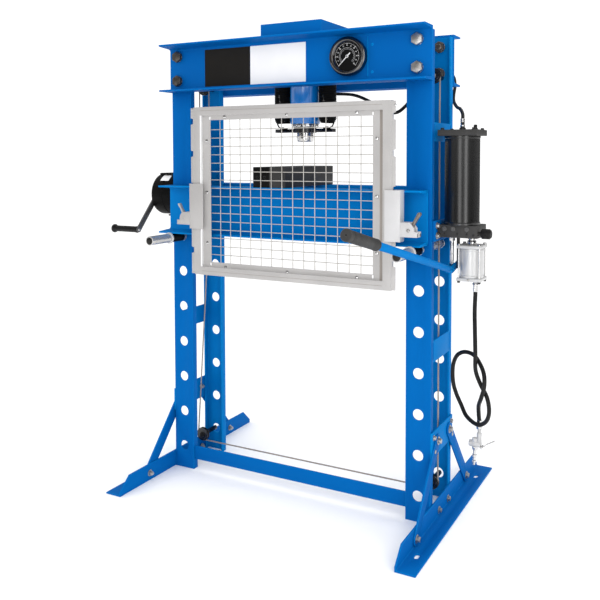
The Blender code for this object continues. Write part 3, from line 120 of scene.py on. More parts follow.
def tone_ramp(tree, share, ends, between):
    """A colour that follows a share, from two end stops and those between them."""
    ramp = add_node(tree, "ShaderNodeValToRGB", {"Fac": share})
    for stop, (position, tone) in zip(ramp.color_ramp.elements, ends):
        stop.position, stop.color = position, (*tone, 1)
    for position, tone in between:
        ramp.color_ramp.elements.new(position).color = (*tone, 1)
    return ramp.outputs["Color"]


def light_studio():
    """A white room whose walls look darker and banded in what is glossy, and four lights."""
    world = bpy.data.worlds.new("studio")
    bpy.context.scene.world = world
    world.use_nodes = True
    tree = world.node_tree
    tree.nodes.clear()
    where = add_node(tree, "ShaderNodeTexCoord").outputs["Generated"]
    place = add_node(tree, "ShaderNodeSeparateXYZ", {0: where}).outputs
    lift = add_node(tree, "ShaderNodeMapRange", {"Value": place["Z"], "From Min": -1})
    height = tone_ramp(
        tree, lift.outputs["Result"], ((0.30, grey(0.60)), (0.78, grey(1.0))),
        [(0.44, cool(0.45)), (0.49, cool(0.16)), (0.56, cool(0.30))],
    )
    heading = math_node(tree, "ARCTAN2", place["Y"], place["X"])
    bands = (
        (0.12, 0.8), (0.17, 0.10), (0.24, 0.08), (0.28, 0.55), (0.37, 0.55), (0.41, 0.08),
        (0.50, 0.10), (0.55, 0.6),
    )
    walls = tone_ramp(
        tree, math_node(tree, "MULTIPLY_ADD", heading, 1 / tau, 0.5),
        ((0.0, grey(0.9)), (1.0, grey(0.9))), [(share, grey(tone)) for share, tone in bands],
    )
    banded = add_node(
        tree, "ShaderNodeMix", {"Factor": 1.0, 6: height, 7: walls}, data_type="RGBA",
        blend_type="MULTIPLY",
    ).outputs[2]
    room = add_node(tree, "ShaderNodeBackground", {"Color": banded, "Strength": 1.0}).outputs[0]
    plain = add_node(tree, "ShaderNodeBackground", {"Color": (1, 1, 1, 1), "Strength": 1.16})
    glossy = add_node(tree, "ShaderNodeLightPath").outputs["Is Glossy Ray"]
    mix = add_node(tree, "ShaderNodeMixShader", {"Fac": glossy, 1: plain.outputs[0], 2: room})
    add_node(tree, "ShaderNodeOutputWorld", {"Surface": mix.outputs[0]})
    soft_light("front_strip", (0.75, -3.0, 1.5), (0.5, 0.2, 1.2), (0.9, 2.6), 18)
    soft_light("key_light", (2.85, -2.3, 1.9), (0.5, 0.2, 1.1), (0.9, 2.6), 22)
    soft_light("side_light", (3.4, 1.2, 1.6), (0.4, 0.2, 1.0), (0.7, 2.4), 17, False)
    soft_light("fill_light", (-3.2, -1.8, 2.4), (-0.2, 0.2, 1.0), (1.2, 2.4), 7, False)


place_camera()
bpy.context.scene.view_settings.view_transform = "Standard"


# Finishes


def add_node(tree, kind, inputs=None, **settings):
    """A node with its settings, and with each named input linked to a socket or set to a value."""
    made = tree.nodes.new(kind)
    for name, value in settings.items():
        setattr(made, name, value)
    for name, value in (inputs or {}).items():
        if isinstance(value, bpy.types.NodeSocket):
            tree.links.new(value, made.inputs[name])
        else:
            made.inputs[name].default_value = value
    return made


def new_group(name, inputs, outputs):
    tree = bpy.data.node_groups.new(name, "ShaderNodeTree")
    for label, (kind, value) in inputs.items():
        socket = tree.interface.new_socket(name=label, in_out="INPUT", socket_type=kind)
        socket.default_value = value
    for label, kind in outputs.items():
        tree.interface.new_socket(name=label, in_out="OUTPUT", socket_type=kind)
    return tree, tree.nodes.new("NodeGroupInput").outputs, tree.nodes.new("NodeGroupOutput").inputs


COLOUR, NUMBER, VECTOR = "NodeSocketColor", "NodeSocketFloat", "NodeSocketVector"


def math_node(tree, operation, first, second=0.0, third=0.0, clamp=False):
    values = {0: first, 1: second, 2: third}
    return add_node(tree, "ShaderNodeMath", values, operation=operation, use_clamp=clamp).outputs[0]


def blend_colours(tree, share, first, second):
    values = {"Factor": share, 6: first, 7: second}
    return add_node(tree, "ShaderNodeMix", values, data_type="RGBA").outputs[2]


def make_worked_surface():
    """Tone that drifts over a surface, its grain, and a lighter colour on its edges and creases:
    partly wear, partly a painted sheen.
    """
    tree, given, result = new_group(
        "worked_surface",
        {
            "Colour": (COLOUR, (0.5, 0.5, 0.5, 1)),
            "Shade": (COLOUR, (0.4, 0.4, 0.4, 1)),
            "Edge Colour": (COLOUR, (0.7, 0.7, 0.7, 1)),
            "Edge Width": (NUMBER, 0.002),
            "Edge Wear": (NUMBER, 0.5),
            "Mottle Scale": (NUMBER, 4.0),
            "Grain Stretch": (VECTOR, (1, 1, 1)),
            "Grain Scale": (NUMBER, 300.0),
            "Grain Tone": (NUMBER, 0.1),
            "Grain Depth": (NUMBER, 0.0001),
            "Roughness": (NUMBER, 0.4),
            "Roughness Spread": (NUMBER, 0.1),
        },
        {"Colour": COLOUR, "Roughness": NUMBER, "Normal": VECTOR},
    )
    place = add_node(tree, "ShaderNodeTexCoord").outputs["Object"]
    drift = add_node(
        tree, "ShaderNodeTexNoise", {"Vector": place, "Scale": given["Mottle Scale"], "Detail": 3.0}
    ).outputs[0]
    drift = add_node(
        tree, "ShaderNodeMapRange", {"Value": drift, "From Min": 0.35, "From Max": 0.68}
    ).outputs[0]
    stretched = add_node(
        tree, "ShaderNodeVectorMath", {0: place, 1: given["Grain Stretch"]}, operation="MULTIPLY"
    ).outputs[0]
    fine = {"Vector": stretched, "Scale": given["Grain Scale"], "Detail": 4.0}
    grain = add_node(tree, "ShaderNodeTexNoise", fine).outputs[0]
    swing = math_node(tree, "MULTIPLY_ADD", grain, 2.0, -1.0)
    tone = math_node(tree, "MULTIPLY", swing, given["Grain Tone"])
    share = math_node(tree, "ADD", drift, tone, clamp=True)
    body = blend_colours(tree, share, given["Colour"], given["Shade"])
    rounded = add_node(
        tree, "ShaderNodeBevel", {"Radius": given["Edge Width"]}, samples=4
    ).outputs[0]
    facing = add_node(tree, "ShaderNodeNewGeometry").outputs["Normal"]
    match = add_node(
        tree, "ShaderNodeVectorMath", {0: rounded, 1: facing}, operation="DOT_PRODUCT"
    ).outputs["Value"]
    edge = add_node(
        tree, "ShaderNodeMapRange", {"Value": match, "From Min": 0.995, "From Max": 0.90}
    ).outputs[0]
    # The edge mask: edges and creases take the edge colour, partly as wear and partly as a painted
    # sheen.
    patchy = math_node(tree, "MULTIPLY_ADD", drift, 0.7, 0.3)
    worn = math_node(tree, "MULTIPLY", edge, patchy)
    worn = math_node(tree, "MULTIPLY", worn, given["Edge Wear"], clamp=True)
    tree.links.new(blend_colours(tree, worn, body, given["Edge Colour"]), result["Colour"])
    spread = math_node(tree, "MULTIPLY", swing, given["Roughness Spread"])
    slow = math_node(tree, "MULTIPLY", drift, given["Roughness Spread"])
    change = math_node(tree, "ADD", spread, slow)
    rough = math_node(tree, "ADD", given["Roughness"], change, clamp=True)
    tree.links.new(rough, result["Roughness"])
    bump = add_node(tree, "ShaderNodeBump", {"Height": grain, "Distance": given["Grain Depth"]})
    tree.links.new(bump.outputs[0], result["Normal"])
    return tree


def make_laid_strands():
    """The lay of a wire rope: strands that wind around it, along its own first coordinate, with
    painted shade in the grooves between them.
    """
    tree, given, result = new_group(
        "laid_strands",
        {"Turns": (NUMBER, 100.0), "Strands": (NUMBER, 6.0), "Groove": (COLOUR, (0.1, 0.1, 0.1, 1))}
        | {"Crown": (COLOUR, (0.6, 0.6, 0.6, 1)), "Depth": (NUMBER, 0.0006)},
        {"Colour": COLOUR, "Normal": VECTOR},
    )
    place = add_node(tree, "ShaderNodeTexCoord").outputs["UV"]
    parts = add_node(tree, "ShaderNodeSeparateXYZ", {0: place}).outputs
    along = math_node(tree, "MULTIPLY", parts[0], given["Turns"])
    winding = math_node(tree, "MULTIPLY_ADD", parts[1], given["Strands"], along)
    wave = math_node(tree, "SINE", math_node(tree, "MULTIPLY", winding, tau))
    height = math_node(tree, "MULTIPLY_ADD", wave, 0.5, 0.5)
    tree.links.new(blend_colours(tree, height, given["Groove"], given["Crown"]), result["Colour"])
    bump = add_node(tree, "ShaderNodeBump", {"Height": height, "Distance": given["Depth"]})
    tree.links.new(bump.outputs[0], result["Normal"])
    return tree


WORKED_SURFACE = make_worked_surface()
LAID_STRANDS = make_laid_strands()
FINISHES = {}
SHADER_SOCKETS = {
    "metallic": "Metallic",
    "coat": "Coat Weight",
    "coat_roughness": "Coat Roughness",
    "specular": "Specular IOR Level",
    "anisotropic": "Anisotropic",
}


def new_finish(name, slot, colour, shade=None, edge=None, group=None, **values):
    """Adds a finish: values named as the group's inputs go there, and the rest to the shader."""
    material = bpy.data.materials.new(name)
    material.use_nodes = True
    material["slot"] = slot
    tree = material.node_tree
    shader = tree.nodes["Principled BSDF"]
    surface = add_node(tree, "ShaderNodeGroup", node_tree=group or WORKED_SURFACE)
    for key, value in values.items():
        if key in SHADER_SOCKETS:
            shader.inputs[SHADER_SOCKETS[key]].default_value = value
        elif key == "gloss":
            shader.inputs["Roughness"].default_value = value
        else:
            surface.inputs[key.replace("_", " ").title()].default_value = value
    if group is None:
        shade = shade or [part * 0.82 for part in colour]
        # By default the edge colour is a lighter copy of the colour: partly wear, partly a painted
        # sheen.
        edge = edge or [min(1, part * 1.5 + 0.02) for part in colour]
        for label, tone in (("Colour", colour), ("Shade", shade), ("Edge Colour", edge)):
            surface.inputs[label].default_value = (*tone, 1)
        tree.links.new(surface.outputs["Roughness"], shader.inputs["Roughness"])
    tree.links.new(surface.outputs["Colour"], shader.inputs["Base Color"])
    tree.links.new(surface.outputs["Normal"], shader.inputs["Normal"])
    material.diffuse_color = (*colour, 1)
    FINISHES[name] = material


def grey(tone, warmth=0.0):
    return (tone * (1 + warmth), tone, tone * (1 - warmth))


# The enamels' edge colours are lighter blues of the same paint: a painted sheen on their rounded
# edges.
new_finish(
    "blue_enamel", "blue_paint", (0.0006, 0.114, 0.392), (0.0006, 0.100, 0.362),
    (0.001, 0.270, 0.640), edge_width=0.003, edge_wear=1.0, mottle_scale=2.5, grain_scale=260,
    grain_depth=0.00001, roughness=0.48, roughness_spread=0.06, specular=0.02,
)
# The same blue enamel painted lighter: painted light for the rear posts, side plates, bed, welds and
# lever, which lie in more shade.
new_finish(
    "blue_enamel_painted_lighter", "blue_paint", (0.0006, 0.165, 0.480), (0.0006, 0.150, 0.445),
    (0.001, 0.360, 0.840), edge_width=0.003, edge_wear=1.0, mottle_scale=2.5, grain_scale=260,
    grain_depth=0.00001, roughness=0.48, roughness_spread=0.06, specular=0.02,
)
# The cylinder's blue, painted lighter than the frame's enamel against the shade it lies in, and
# glossy.
new_finish(
    "blue_barrel_painted_lighter", "blue_paint", (0.0006, 0.180, 0.580), (0.0006, 0.165, 0.540),
    (0.001, 0.360, 0.840), edge_width=0.003, edge_wear=1.0, mottle_scale=2.5, grain_scale=260,
    grain_depth=0.0, roughness=0.15, roughness_spread=0.02, specular=0.9,
)
new_finish(
    "black_enamel", "black_paint", grey(0.004), grey(0.0025), grey(0.02), edge_wear=0.6,
    mottle_scale=6, grain_scale=220, grain_depth=0.0, roughness=0.25,
    roughness_spread=0.02, specular=0.85,
)
new_finish(
    "satin_black", "black_paint", grey(0.004), grey(0.0025), grey(0.03), edge_wear=0.7,
    mottle_scale=8, grain_scale=420, grain_depth=0.00003, roughness=0.45, roughness_spread=0.1,
    specular=0.07,
)
new_finish(
    "grey_casting", "grey_casting", grey(0.038, 0.02), grey(0.026, 0.02), grey(0.11),
    mottle_scale=14, grain_scale=380, grain_tone=0.3, grain_depth=0.00012, roughness=0.50,
    roughness_spread=0.12, specular=0.3,
)
new_finish(
    "crank_steel", "grey_casting", grey(0.105, 0.01), grey(0.075, 0.01), grey(0.34),
    mottle_scale=9, grain_scale=300, grain_tone=0.25, grain_depth=0.0001, roughness=0.36,
    roughness_spread=0.1, metallic=0.5,
)
new_finish(
    "oiled_bar", "bar_steel", grey(0.046, 0.01), grey(0.030, 0.01), grey(0.15), edge_wear=0.9,
    mottle_scale=7, grain_stretch=(1, 0.04, 1), grain_scale=420, grain_tone=0.35,
    grain_depth=0.00006, roughness=0.44, roughness_spread=0.12, metallic=0.2, specular=0.3,
)
new_finish(
    "dark_bar", "bar_steel", grey(0.006), grey(0.003), grey(0.10), edge_wear=0.9,
    mottle_scale=7, grain_stretch=(1, 0.04, 1), grain_scale=420, grain_tone=0.35,
    grain_depth=0.00004, roughness=0.46, roughness_spread=0.12, specular=0.08,
)
new_finish(
    "polished_steel", "bright_steel", grey(0.72, 0.01), grey(0.62, 0.01), grey(0.85),
    mottle_scale=12, grain_stretch=(1, 1, 0.05), grain_scale=600, grain_tone=0.3,
    grain_depth=0.00002, roughness=0.13, roughness_spread=0.05, metallic=1.0,
)
new_finish(
    "pin_steel", "bright_steel", grey(0.58, 0.02), grey(0.46, 0.02), grey(0.85),
    mottle_scale=12, grain_stretch=(1, 0.05, 1), grain_scale=500, grain_tone=0.3,
    grain_depth=0.00002, roughness=0.22, roughness_spread=0.06, metallic=0.65,
)
new_finish(
    "dark_end", "bright_steel", grey(0.035, 0.03), grey(0.020, 0.03), grey(0.20),
    mottle_scale=30, grain_scale=700, grain_tone=0.3, grain_depth=0.00006, roughness=0.38,
    roughness_spread=0.1, metallic=0.7,
)
new_finish(
    "zinc_bolt", "bright_steel", grey(0.50, 0.03), grey(0.34, 0.05), grey(0.80), edge_wear=0.8,
    mottle_scale=40, grain_scale=900, grain_tone=0.4, grain_depth=0.00006, roughness=0.32,
    roughness_spread=0.12, metallic=0.95,
)
new_finish(
    "worn_bolt", "bright_steel", (0.115, 0.100, 0.088), (0.045, 0.038, 0.032),
    (0.52, 0.47, 0.42), edge_width=0.0018, edge_wear=1.0, mottle_scale=70, grain_scale=900,
    grain_tone=0.5, grain_depth=0.00006, roughness=0.34, roughness_spread=0.15, metallic=0.6,
)
new_finish(
    "guard_aluminium", "aluminium", (0.470, 0.457, 0.450), (0.420, 0.408, 0.402),
    (0.86, 0.85, 0.84), edge_width=0.002, edge_wear=0.7, mottle_scale=5,
    grain_stretch=(1, 1, 0.3), grain_scale=520, grain_tone=0.25, grain_depth=0.00008,
    roughness=0.48, roughness_spread=0.1, metallic=0.35,
)
new_finish(
    "pale_aluminium", "aluminium", (0.60, 0.595, 0.60), (0.55, 0.545, 0.55), (0.90, 0.90, 0.90),
    edge_wear=0.5, mottle_scale=9, grain_scale=480, grain_tone=0.25, grain_depth=0.00008,
    roughness=0.45, roughness_spread=0.1, metallic=0.3,
)
# Near white: a painted highlight on the guard's left ridge, and the pale corner tabs.
new_finish(
    "highlight_and_pale_tab", "aluminium", grey(0.86), grey(0.78), grey(0.94), mottle_scale=9,
    grain_scale=480, grain_tone=0.2, grain_depth=0.00002, roughness=0.4, roughness_spread=0.08,
    metallic=0.1,
)
new_finish(
    "motor_aluminium", "aluminium", grey(0.56), grey(0.48), grey(0.80), mottle_scale=8,
    grain_stretch=(1, 1, 0.06), grain_scale=500, grain_tone=0.3, grain_depth=0.00001,
    roughness=0.36, roughness_spread=0.08, metallic=0.25, specular=0.3,
)
new_finish(
    "polished_barrel", "aluminium", grey(0.62), grey(0.56), grey(0.80), mottle_scale=8,
    grain_stretch=(1, 1, 0.06), grain_scale=500, grain_tone=0.3, grain_depth=0.00001,
    roughness=0.32, roughness_spread=0.06, metallic=0.55,
)
new_finish(
    "bronzed_lever", "aluminium", (0.25, 0.21, 0.18), (0.17, 0.14, 0.12), (0.62, 0.58, 0.54),
    edge_wear=0.9, mottle_scale=30, grain_scale=500, grain_tone=0.3, grain_depth=0.00008,
    roughness=0.38, roughness_spread=0.1, metallic=0.6,
)
# Greyish brown: painted shade in the guard's right groove, and the dark seams along the rails.
new_finish(
    "groove_shade_and_seam", "aluminium", (0.285, 0.258, 0.235), (0.240, 0.215, 0.195),
    (0.40, 0.38, 0.36), mottle_scale=6, grain_scale=500, grain_depth=0.00004, roughness=0.6,
    roughness_spread=0.08, specular=0.2,
)
new_finish(
    "galvanised_wire", "wire", (0.50, 0.48, 0.45), (0.36, 0.34, 0.31), (0.72, 0.70, 0.66),
    mottle_scale=45, grain_scale=700, grain_tone=0.4, grain_depth=0.00004, roughness=0.40,
    roughness_spread=0.12, metallic=0.3, specular=0.3,
)
new_finish(
    "hose_rubber", "rubber", grey(0.005), grey(0.003), grey(0.02), mottle_scale=18,
    grain_scale=520, grain_tone=0.3, grain_depth=0.00004, roughness=0.44, roughness_spread=0.1,
    specular=0.3,
)
new_finish(
    "moulded_plastic", "plastic", grey(0.004), grey(0.003), grey(0.03), mottle_scale=22,
    grain_scale=900, grain_tone=0.3, grain_depth=0.00003, roughness=0.40, roughness_spread=0.1,
    specular=0.3,
)
new_finish(
    "grip_rubber", "plastic", grey(0.040), grey(0.028), grey(0.12), mottle_scale=20,
    grain_scale=650, grain_tone=0.35, grain_depth=0.00008, roughness=0.58, roughness_spread=0.1,
    specular=0.3,
)
new_finish(
    "dial_black", "dial", grey(0.004), grey(0.003), grey(0.02), mottle_scale=30,
    grain_scale=900, grain_depth=0.00001, roughness=0.5, roughness_spread=0.06, specular=0.08,
)
new_finish(
    "bezel_black", "dial", grey(0.13, 0.02), grey(0.09, 0.02), grey(0.55), edge_wear=0.9,
    edge_width=0.0012, mottle_scale=12, grain_scale=500, grain_depth=0.00001, roughness=0.16,
    roughness_spread=0.05, metallic=1.0,
)
new_finish(
    "printed_white", "needle", grey(0.80), grey(0.72), grey(0.85), mottle_scale=60,
    grain_scale=900, grain_depth=0.00002, roughness=0.5, roughness_spread=0.08,
)
new_finish(
    "printed_grey", "dial", grey(0.18), grey(0.14), grey(0.25), mottle_scale=60,
    grain_scale=900, grain_depth=0.00002, roughness=0.5, roughness_spread=0.08,
)
new_finish(
    "dark_label", "dial", grey(0.013, 0.12), grey(0.010, 0.12), grey(0.05), mottle_scale=6,
    grain_scale=700, grain_depth=0.00001, roughness=0.36, roughness_spread=0.06, specular=0.15,
)
new_finish(
    "pale_label", "needle", grey(0.84, 0.01), grey(0.79, 0.01), grey(0.88), mottle_scale=6,
    grain_scale=700, grain_depth=0.00001, roughness=0.36, roughness_spread=0.06, specular=0.15,
)
# The rope's groove colour is painted shade between the strands.
new_finish(
    "wire_rope", "wire", grey(0.5), group=LAID_STRANDS, turns=240, strands=6,
    groove=(0.16, 0.13, 0.11, 1), crown=(0.60, 0.52, 0.46, 1), metallic=0.5, gloss=0.42,
)


# Shapes


def aimed(place, direction):
    """The turn and move that stand a shape made along Z at a place, pointing in a direction."""
    turn = Vector(direction).to_track_quat("Z", "Y").to_matrix().to_4x4()
    return Matrix.Translation(place) @ turn


def together(*shapes):
    """One shape of several, which stay apart."""
    whole = bmesh.new()
    for shape in shapes:
        mesh = bpy.data.meshes.new("shape")
        shape.to_mesh(mesh)
        shape.free()
        whole.from_mesh(mesh)
        bpy.data.meshes.remove(mesh)
    return whole


def rounded(shape, width, segments=2, chosen=None, angle=radians(35)):
    """Rounds a shape's sharp edges, or only those that a test picks."""
    edges = [
        edge
        for edge in shape.edges
        if edge.is_manifold and edge.calc_face_angle(0) > angle and (chosen is None or chosen(edge))
    ]
    if edges and width:
        bmesh.ops.bevel(
            shape, geom=edges, offset=width, offset_type="OFFSET", segments=segments,
            profile=0.5, affect="EDGES", clamp_overlap=True, material=-1,
        )
    return shape


def middle_of(edge):
    return (edge.verts[0].co + edge.verts[1].co) / 2


def block(low, high, edge=0.001, segments=2):
    low, high = Vector(low), Vector(high)
    shape = bmesh.new()
    bmesh.ops.create_cube(shape, size=1)
    bmesh.ops.scale(shape, vec=high - low, verts=shape.verts)
    bmesh.ops.translate(shape, vec=(low + high) / 2, verts=shape.verts)
    return rounded(shape, edge, segments)


def rod(start, end, radius, end_radius=None, sides=32, edge=0.0, segments=2):
    start, end = Vector(start), Vector(end)
    shape = bmesh.new()
    bmesh.ops.create_cone(
        shape, cap_ends=True, segments=sides, radius1=radius,
        radius2=radius if end_radius is None else end_radius, depth=(end - start).length,
    )
    rounded(shape, edge, segments, angle=radians(60))
    bmesh.ops.transform(shape, matrix=aimed((start + end) / 2, end - start), verts=shape.verts)
    return shape


def turned(profile, place, direction, steps=48):
    """A profile of (radius, height) points turned right round; off the axis it closes on itself."""
    shape = bmesh.new()
    verts = [shape.verts.new((radius, 0, height)) for radius, height in profile]
    pairs = list(zip(verts, verts[1:]))
    if profile[0][0] or profile[-1][0]:
        pairs.append((verts[-1], verts[0]))
    edges = [shape.edges.new(pair) for pair in pairs]
    bmesh.ops.spin(
        shape, geom=[*verts, *edges], cent=(0, 0, 0), axis=(0, 0, 1), angle=tau, steps=steps,
        use_merge=True,
    )
    bmesh.ops.remove_doubles(shape, verts=shape.verts, dist=1e-6)
    bmesh.ops.recalc_face_normals(shape, faces=shape.faces)
    bmesh.ops.transform(shape, matrix=aimed(place, direction), verts=shape.verts)
    return shape


def drawn(outline, run, edge=0.0, segments=2):
    """A flat outline drawn out along a run."""
    shape = bmesh.new()
    face = shape.faces.new([shape.verts.new(point) for point in outline])
    made = bmesh.ops.extrude_face_region(shape, geom=[face])
    moved = [item for item in made["geom"] if isinstance(item, bmesh.types.BMVert)]
    bmesh.ops.translate(shape, vec=run, verts=moved)
    bmesh.ops.recalc_face_normals(shape, faces=shape.faces)
    return rounded(shape, edge, segments)


def arc(centre, radius, first, last, steps, across=X, up=Z):
    """Points of an arc around a centre, its angles counted from one direction towards the other."""
    centre = Vector(centre)
    angles = [first + (last - first) * step / steps for step in range(steps + 1)]
    return [centre + radius * (across * cos(angle) + up * sin(angle)) for angle in angles]


def capsule(start, end, radius, across, up, steps=10):
    """The outline of a flat bar with round ends, between two points of a plane."""
    start, end = Vector(start), Vector(end)
    run = end - start
    heading = atan2(run.dot(up), run.dot(across))
    return [
        *arc(end, radius, heading - pi / 2, heading + pi / 2, steps, across, up),
        *arc(start, radius, heading + pi / 2, heading + 3 * pi / 2, steps, across, up),
    ]


def hexagon(place, direction, across, height):
    """A hexagon head or nut, with its top chamfered."""
    shape = bmesh.new()
    radius = across / 2 / cos(pi / 6)
    bmesh.ops.create_cone(
        shape, cap_ends=True, segments=6, radius1=radius, radius2=radius, depth=height * 0.8
    )
    top = [face for face in shape.faces if face.normal.z > 0.9]
    bmesh.ops.inset_region(shape, faces=top, thickness=across * 0.06, depth=height * 0.2)
    rounded(shape, across * 0.015, 1)
    bmesh.ops.translate(shape, vec=(0, 0, height * 0.4), verts=shape.verts)
    bmesh.ops.transform(shape, matrix=aimed(place, direction), verts=shape.verts)
    return shape


def bolt(place, direction, across=0.024, height=0.012, washer=1.65, stub=0.0):
    """A hexagon on a washer, with the end of its thread standing out of it if it is a nut."""
    place, direction = Vector(place), Vector(direction).normalized()
    thick = height * 0.22
    shapes = [
        rod(place, place + direction * thick, across * washer / 2, sides=28, edge=thick * 0.3),
        hexagon(place + direction * thick, direction, across, height),
    ]
    if stub:
        start = place + direction * (thick + height)
        shapes.append(thread(start - direction * 0.001, direction, across * 0.3, stub))
    return together(*shapes)


def thread(place, direction, radius, length, pitch=0.002):
    """A rod with a thread's grooves around it."""
    profile = [(0, 0)]
    for step in range(max(1, round(length / pitch))):
        profile += [(radius * 0.88, step * pitch), (radius, (step + 0.5) * pitch)]
    profile += [(radius * 0.85, length), (0, length)]
    return turned(profile, place, direction, 20)


def cross_screw(place, direction, radius):
    """A domed screw head with a recess in its middle."""
    profile = [
        (0, radius * 0.15),
        (radius * 0.28, radius * 0.18),
        (radius * 0.34, radius * 0.55),
        (radius * 0.75, radius * 0.42),
        (radius, radius * 0.08),
        (radius, 0),
        (0, 0),
    ]
    return turned(profile, place, direction, 20)


def round_curve(name, points, diameter, resolution):
    """A round open curve through points."""
    curve = bpy.data.curves.new(name, "CURVE")
    curve.dimensions = "3D"
    curve.bevel_depth = diameter / 2
    curve.bevel_resolution = resolution
    curve.use_fill_caps = True
    spline = curve.splines.new("POLY")
    spline.points.add(len(points) - 1)
    for point, place in zip(spline.points, points):
        point.co = (*place, 1)
    return curve


def mesh_of(curve):
    """The mesh of a curve or a text, which is then gone."""
    obj = bpy.data.objects.new("wire", curve)
    bpy.context.scene.collection.objects.link(obj)
    graph = bpy.context.evaluated_depsgraph_get()
    mesh = bpy.data.meshes.new_from_object(obj.evaluated_get(graph))
    shape = bmesh.new()
    shape.from_mesh(mesh)
    bpy.data.objects.remove(obj)
    bpy.data.curves.remove(curve)
    bpy.data.meshes.remove(mesh)
    return shape


def tube(points, diameter, resolution=3):
    """A round wire through points, as a mesh with its length in its map's first coordinate."""
    return mesh_of(round_curve("wire", points, diameter, resolution))


def coil(centre, radius, low, high, turns, per_turn=16, first=0.0, axis=Z, across=X):
    """Points of a coil around an axis through a centre, from one height to another."""
    up = axis.cross(across)
    steps = round(turns * per_turn)
    points = []
    for step in range(steps + 1):
        angle = first + tau * turns * step / steps
        height = low + (high - low) * step / steps
        around = radius * (across * cos(angle) + up * sin(angle))
        points.append(Vector(centre) + around + axis * height)
    return points


def smooth_route(route, spacing):
    """Points about one spacing apart on a smooth curve through the route's points."""
    route = [Vector(point) for point in route]
    ends = [2 * route[0] - route[1], *route, 2 * route[-1] - route[-2]]
    points = []
    for before, start, end, after in zip(ends, ends[1:], ends[2:], ends[3:]):
        steps = max(1, round((end - start).length / spacing))
        for step in range(steps):
            t = step / steps
            points.append(
                0.5
                * (
                    2 * start
                    + (end - before) * t
                    + (2 * before - 5 * start + 4 * end - after) * t**2
                    + (3 * start - before - 3 * end + after) * t**3
                )
            )
    return [*points, route[-1]]


# Pieces


def piece(name, shape, finish, body, *nodes, crease=radians(32)):
    """A named piece of one finish that rides on a body and may stand for some nodes."""
    bmesh.ops.remove_doubles(shape, verts=shape.verts, dist=1e-7)
    for face in shape.faces:
        face.smooth = True
    for edge in shape.edges:
        edge.smooth = not edge.is_manifold or edge.calc_face_angle(0) < crease
    mesh = bpy.data.meshes.new(name)
    shape.to_mesh(mesh)
    shape.free()
    material = FINISHES[finish]
    mesh.materials.append(material)
    obj = bpy.data.objects.new(name, mesh)
    bpy.context.scene.collection.objects.link(obj)
    if nodes:
        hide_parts(*nodes)
    if body:
        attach(obj, body)
    return obj


def finished(node, finish, edge=0.001, segments=2, flat=radians(1), fillet=0.0):
    """A copy of a node with its loose triangles joined into faces and its edges rounded."""
    shape = bmesh.new()
    shape.from_mesh(frame["nodes"][node].data)
    bmesh.ops.remove_doubles(shape, verts=shape.verts, dist=1e-5)
    bmesh.ops.dissolve_limit(
        shape, angle_limit=flat, verts=shape.verts, edges=shape.edges, delimit=set()
    )
    if fillet:
        rounded(shape, fillet, 3, chosen=lambda item: not item.is_convex)
    rounded(shape, edge, segments)
    return piece(f"{node}_body", shape, finish, BODY_OF[node], node)


# Hoses

FERRULE_LENGTH = 0.034
AIR_HOSE = 0.0155
OIL_HOSE = 0.013
HOSE_STRAIGHT = 0.02
AIR_HOSE_START = at(0.7281, -0.035, 0.9024)
AIR_HOSE_MIDDLE = [
    (0.729, -0.036, 0.864), (0.728, -0.040, 0.800), (0.736, -0.063, 0.726),
    (0.743, -0.081, 0.649), (0.740, -0.065, 0.588), (0.756, -0.062, 0.541),
    (0.786, -0.077, 0.496), (0.795, -0.082, 0.445), (0.779, -0.069, 0.403),
    (0.741, -0.044, 0.380), (0.692, -0.009, 0.392), (0.663, 0.014, 0.427),
    (0.644, 0.015, 0.466), (0.635, 0.006, 0.507), (0.631, 0.009, 0.549),
    (0.636, 0.007, 0.588), (0.656, -0.006, 0.623), (0.692, -0.024, 0.641),
    (0.733, -0.044, 0.633), (0.773, -0.084, 0.593), (0.781, -0.098, 0.545),
    (0.767, -0.087, 0.495), (0.748, -0.049, 0.454), (0.743, -0.029, 0.416),
    (0.744, -0.023, 0.385),
]
OIL_HOSE_MIDDLE = [
    (0.666, 0.000, 1.530), (0.640, 0.056, 1.552), (0.611, 0.110, 1.563), (0.583, 0.160, 1.588),
    (0.570, 0.200, 1.618), (0.564, 0.236, 1.656), (0.552, 0.258, 1.694), (0.526, 0.266, 1.714),
    (0.500, 0.258, 1.698), (0.486, 0.238, 1.655), (0.476, 0.202, 1.618), (0.466, 0.150, 1.602),
    (0.460, 0.090, 1.604), (0.456, 0.030, 1.596), (0.446, -0.014, 1.566), (0.418, -0.028, 1.542),
    (0.372, -0.010, 1.545), (0.318, 0.022, 1.570), (0.256, 0.062, 1.598), (0.190, 0.097, 1.622),
    (0.132, 0.112, 1.632),
]
PUMP_SHIFT = -0.0003


def hose(name, points, diameter, node):
    """A hose as one open curve through its points."""
    curve = round_curve(name, points, diameter, 5)
    curve.splines[0].use_smooth = True
    material = FINISHES["hose_rubber"]
    curve.materials.append(material)
    obj = bpy.data.objects.new(name, curve)
    bpy.context.scene.collection.objects.link(obj)
    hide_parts(node)
    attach(obj, BODY_OF[node])
    return obj


def ferrule(name, place, direction, diameter, length=FERRULE_LENGTH):
    """A crimped sleeve over a hose's end, with its swivel nut beyond."""
    radius = diameter / 2
    profile = [(0, 0), (radius * 1.05, 0), (radius * 1.22, 0.0012)]
    rings = 3
    for ring in range(rings):
        base = 0.003 + ring * (length * 0.62) / rings
        step = length * 0.62 / rings
        profile += [
            (radius * 1.24, base),
            (radius * 1.24, base + step * 0.55),
            (radius * 1.12, base + step * 0.62),
            (radius * 1.12, base + step * 0.92),
        ]
    profile += [(radius * 1.2, length * 0.74), (radius * 0.95, length * 0.8), (0, length * 0.8)]
    painted_reflection_band = turned(profile, place, direction, 32)
    top = Vector(place) + Vector(direction) * length * 0.72
    nut = hexagon(top, direction, diameter * 1.25, length * 0.28)
    return piece(name, together(painted_reflection_band, nut), "polished_steel", "frame")


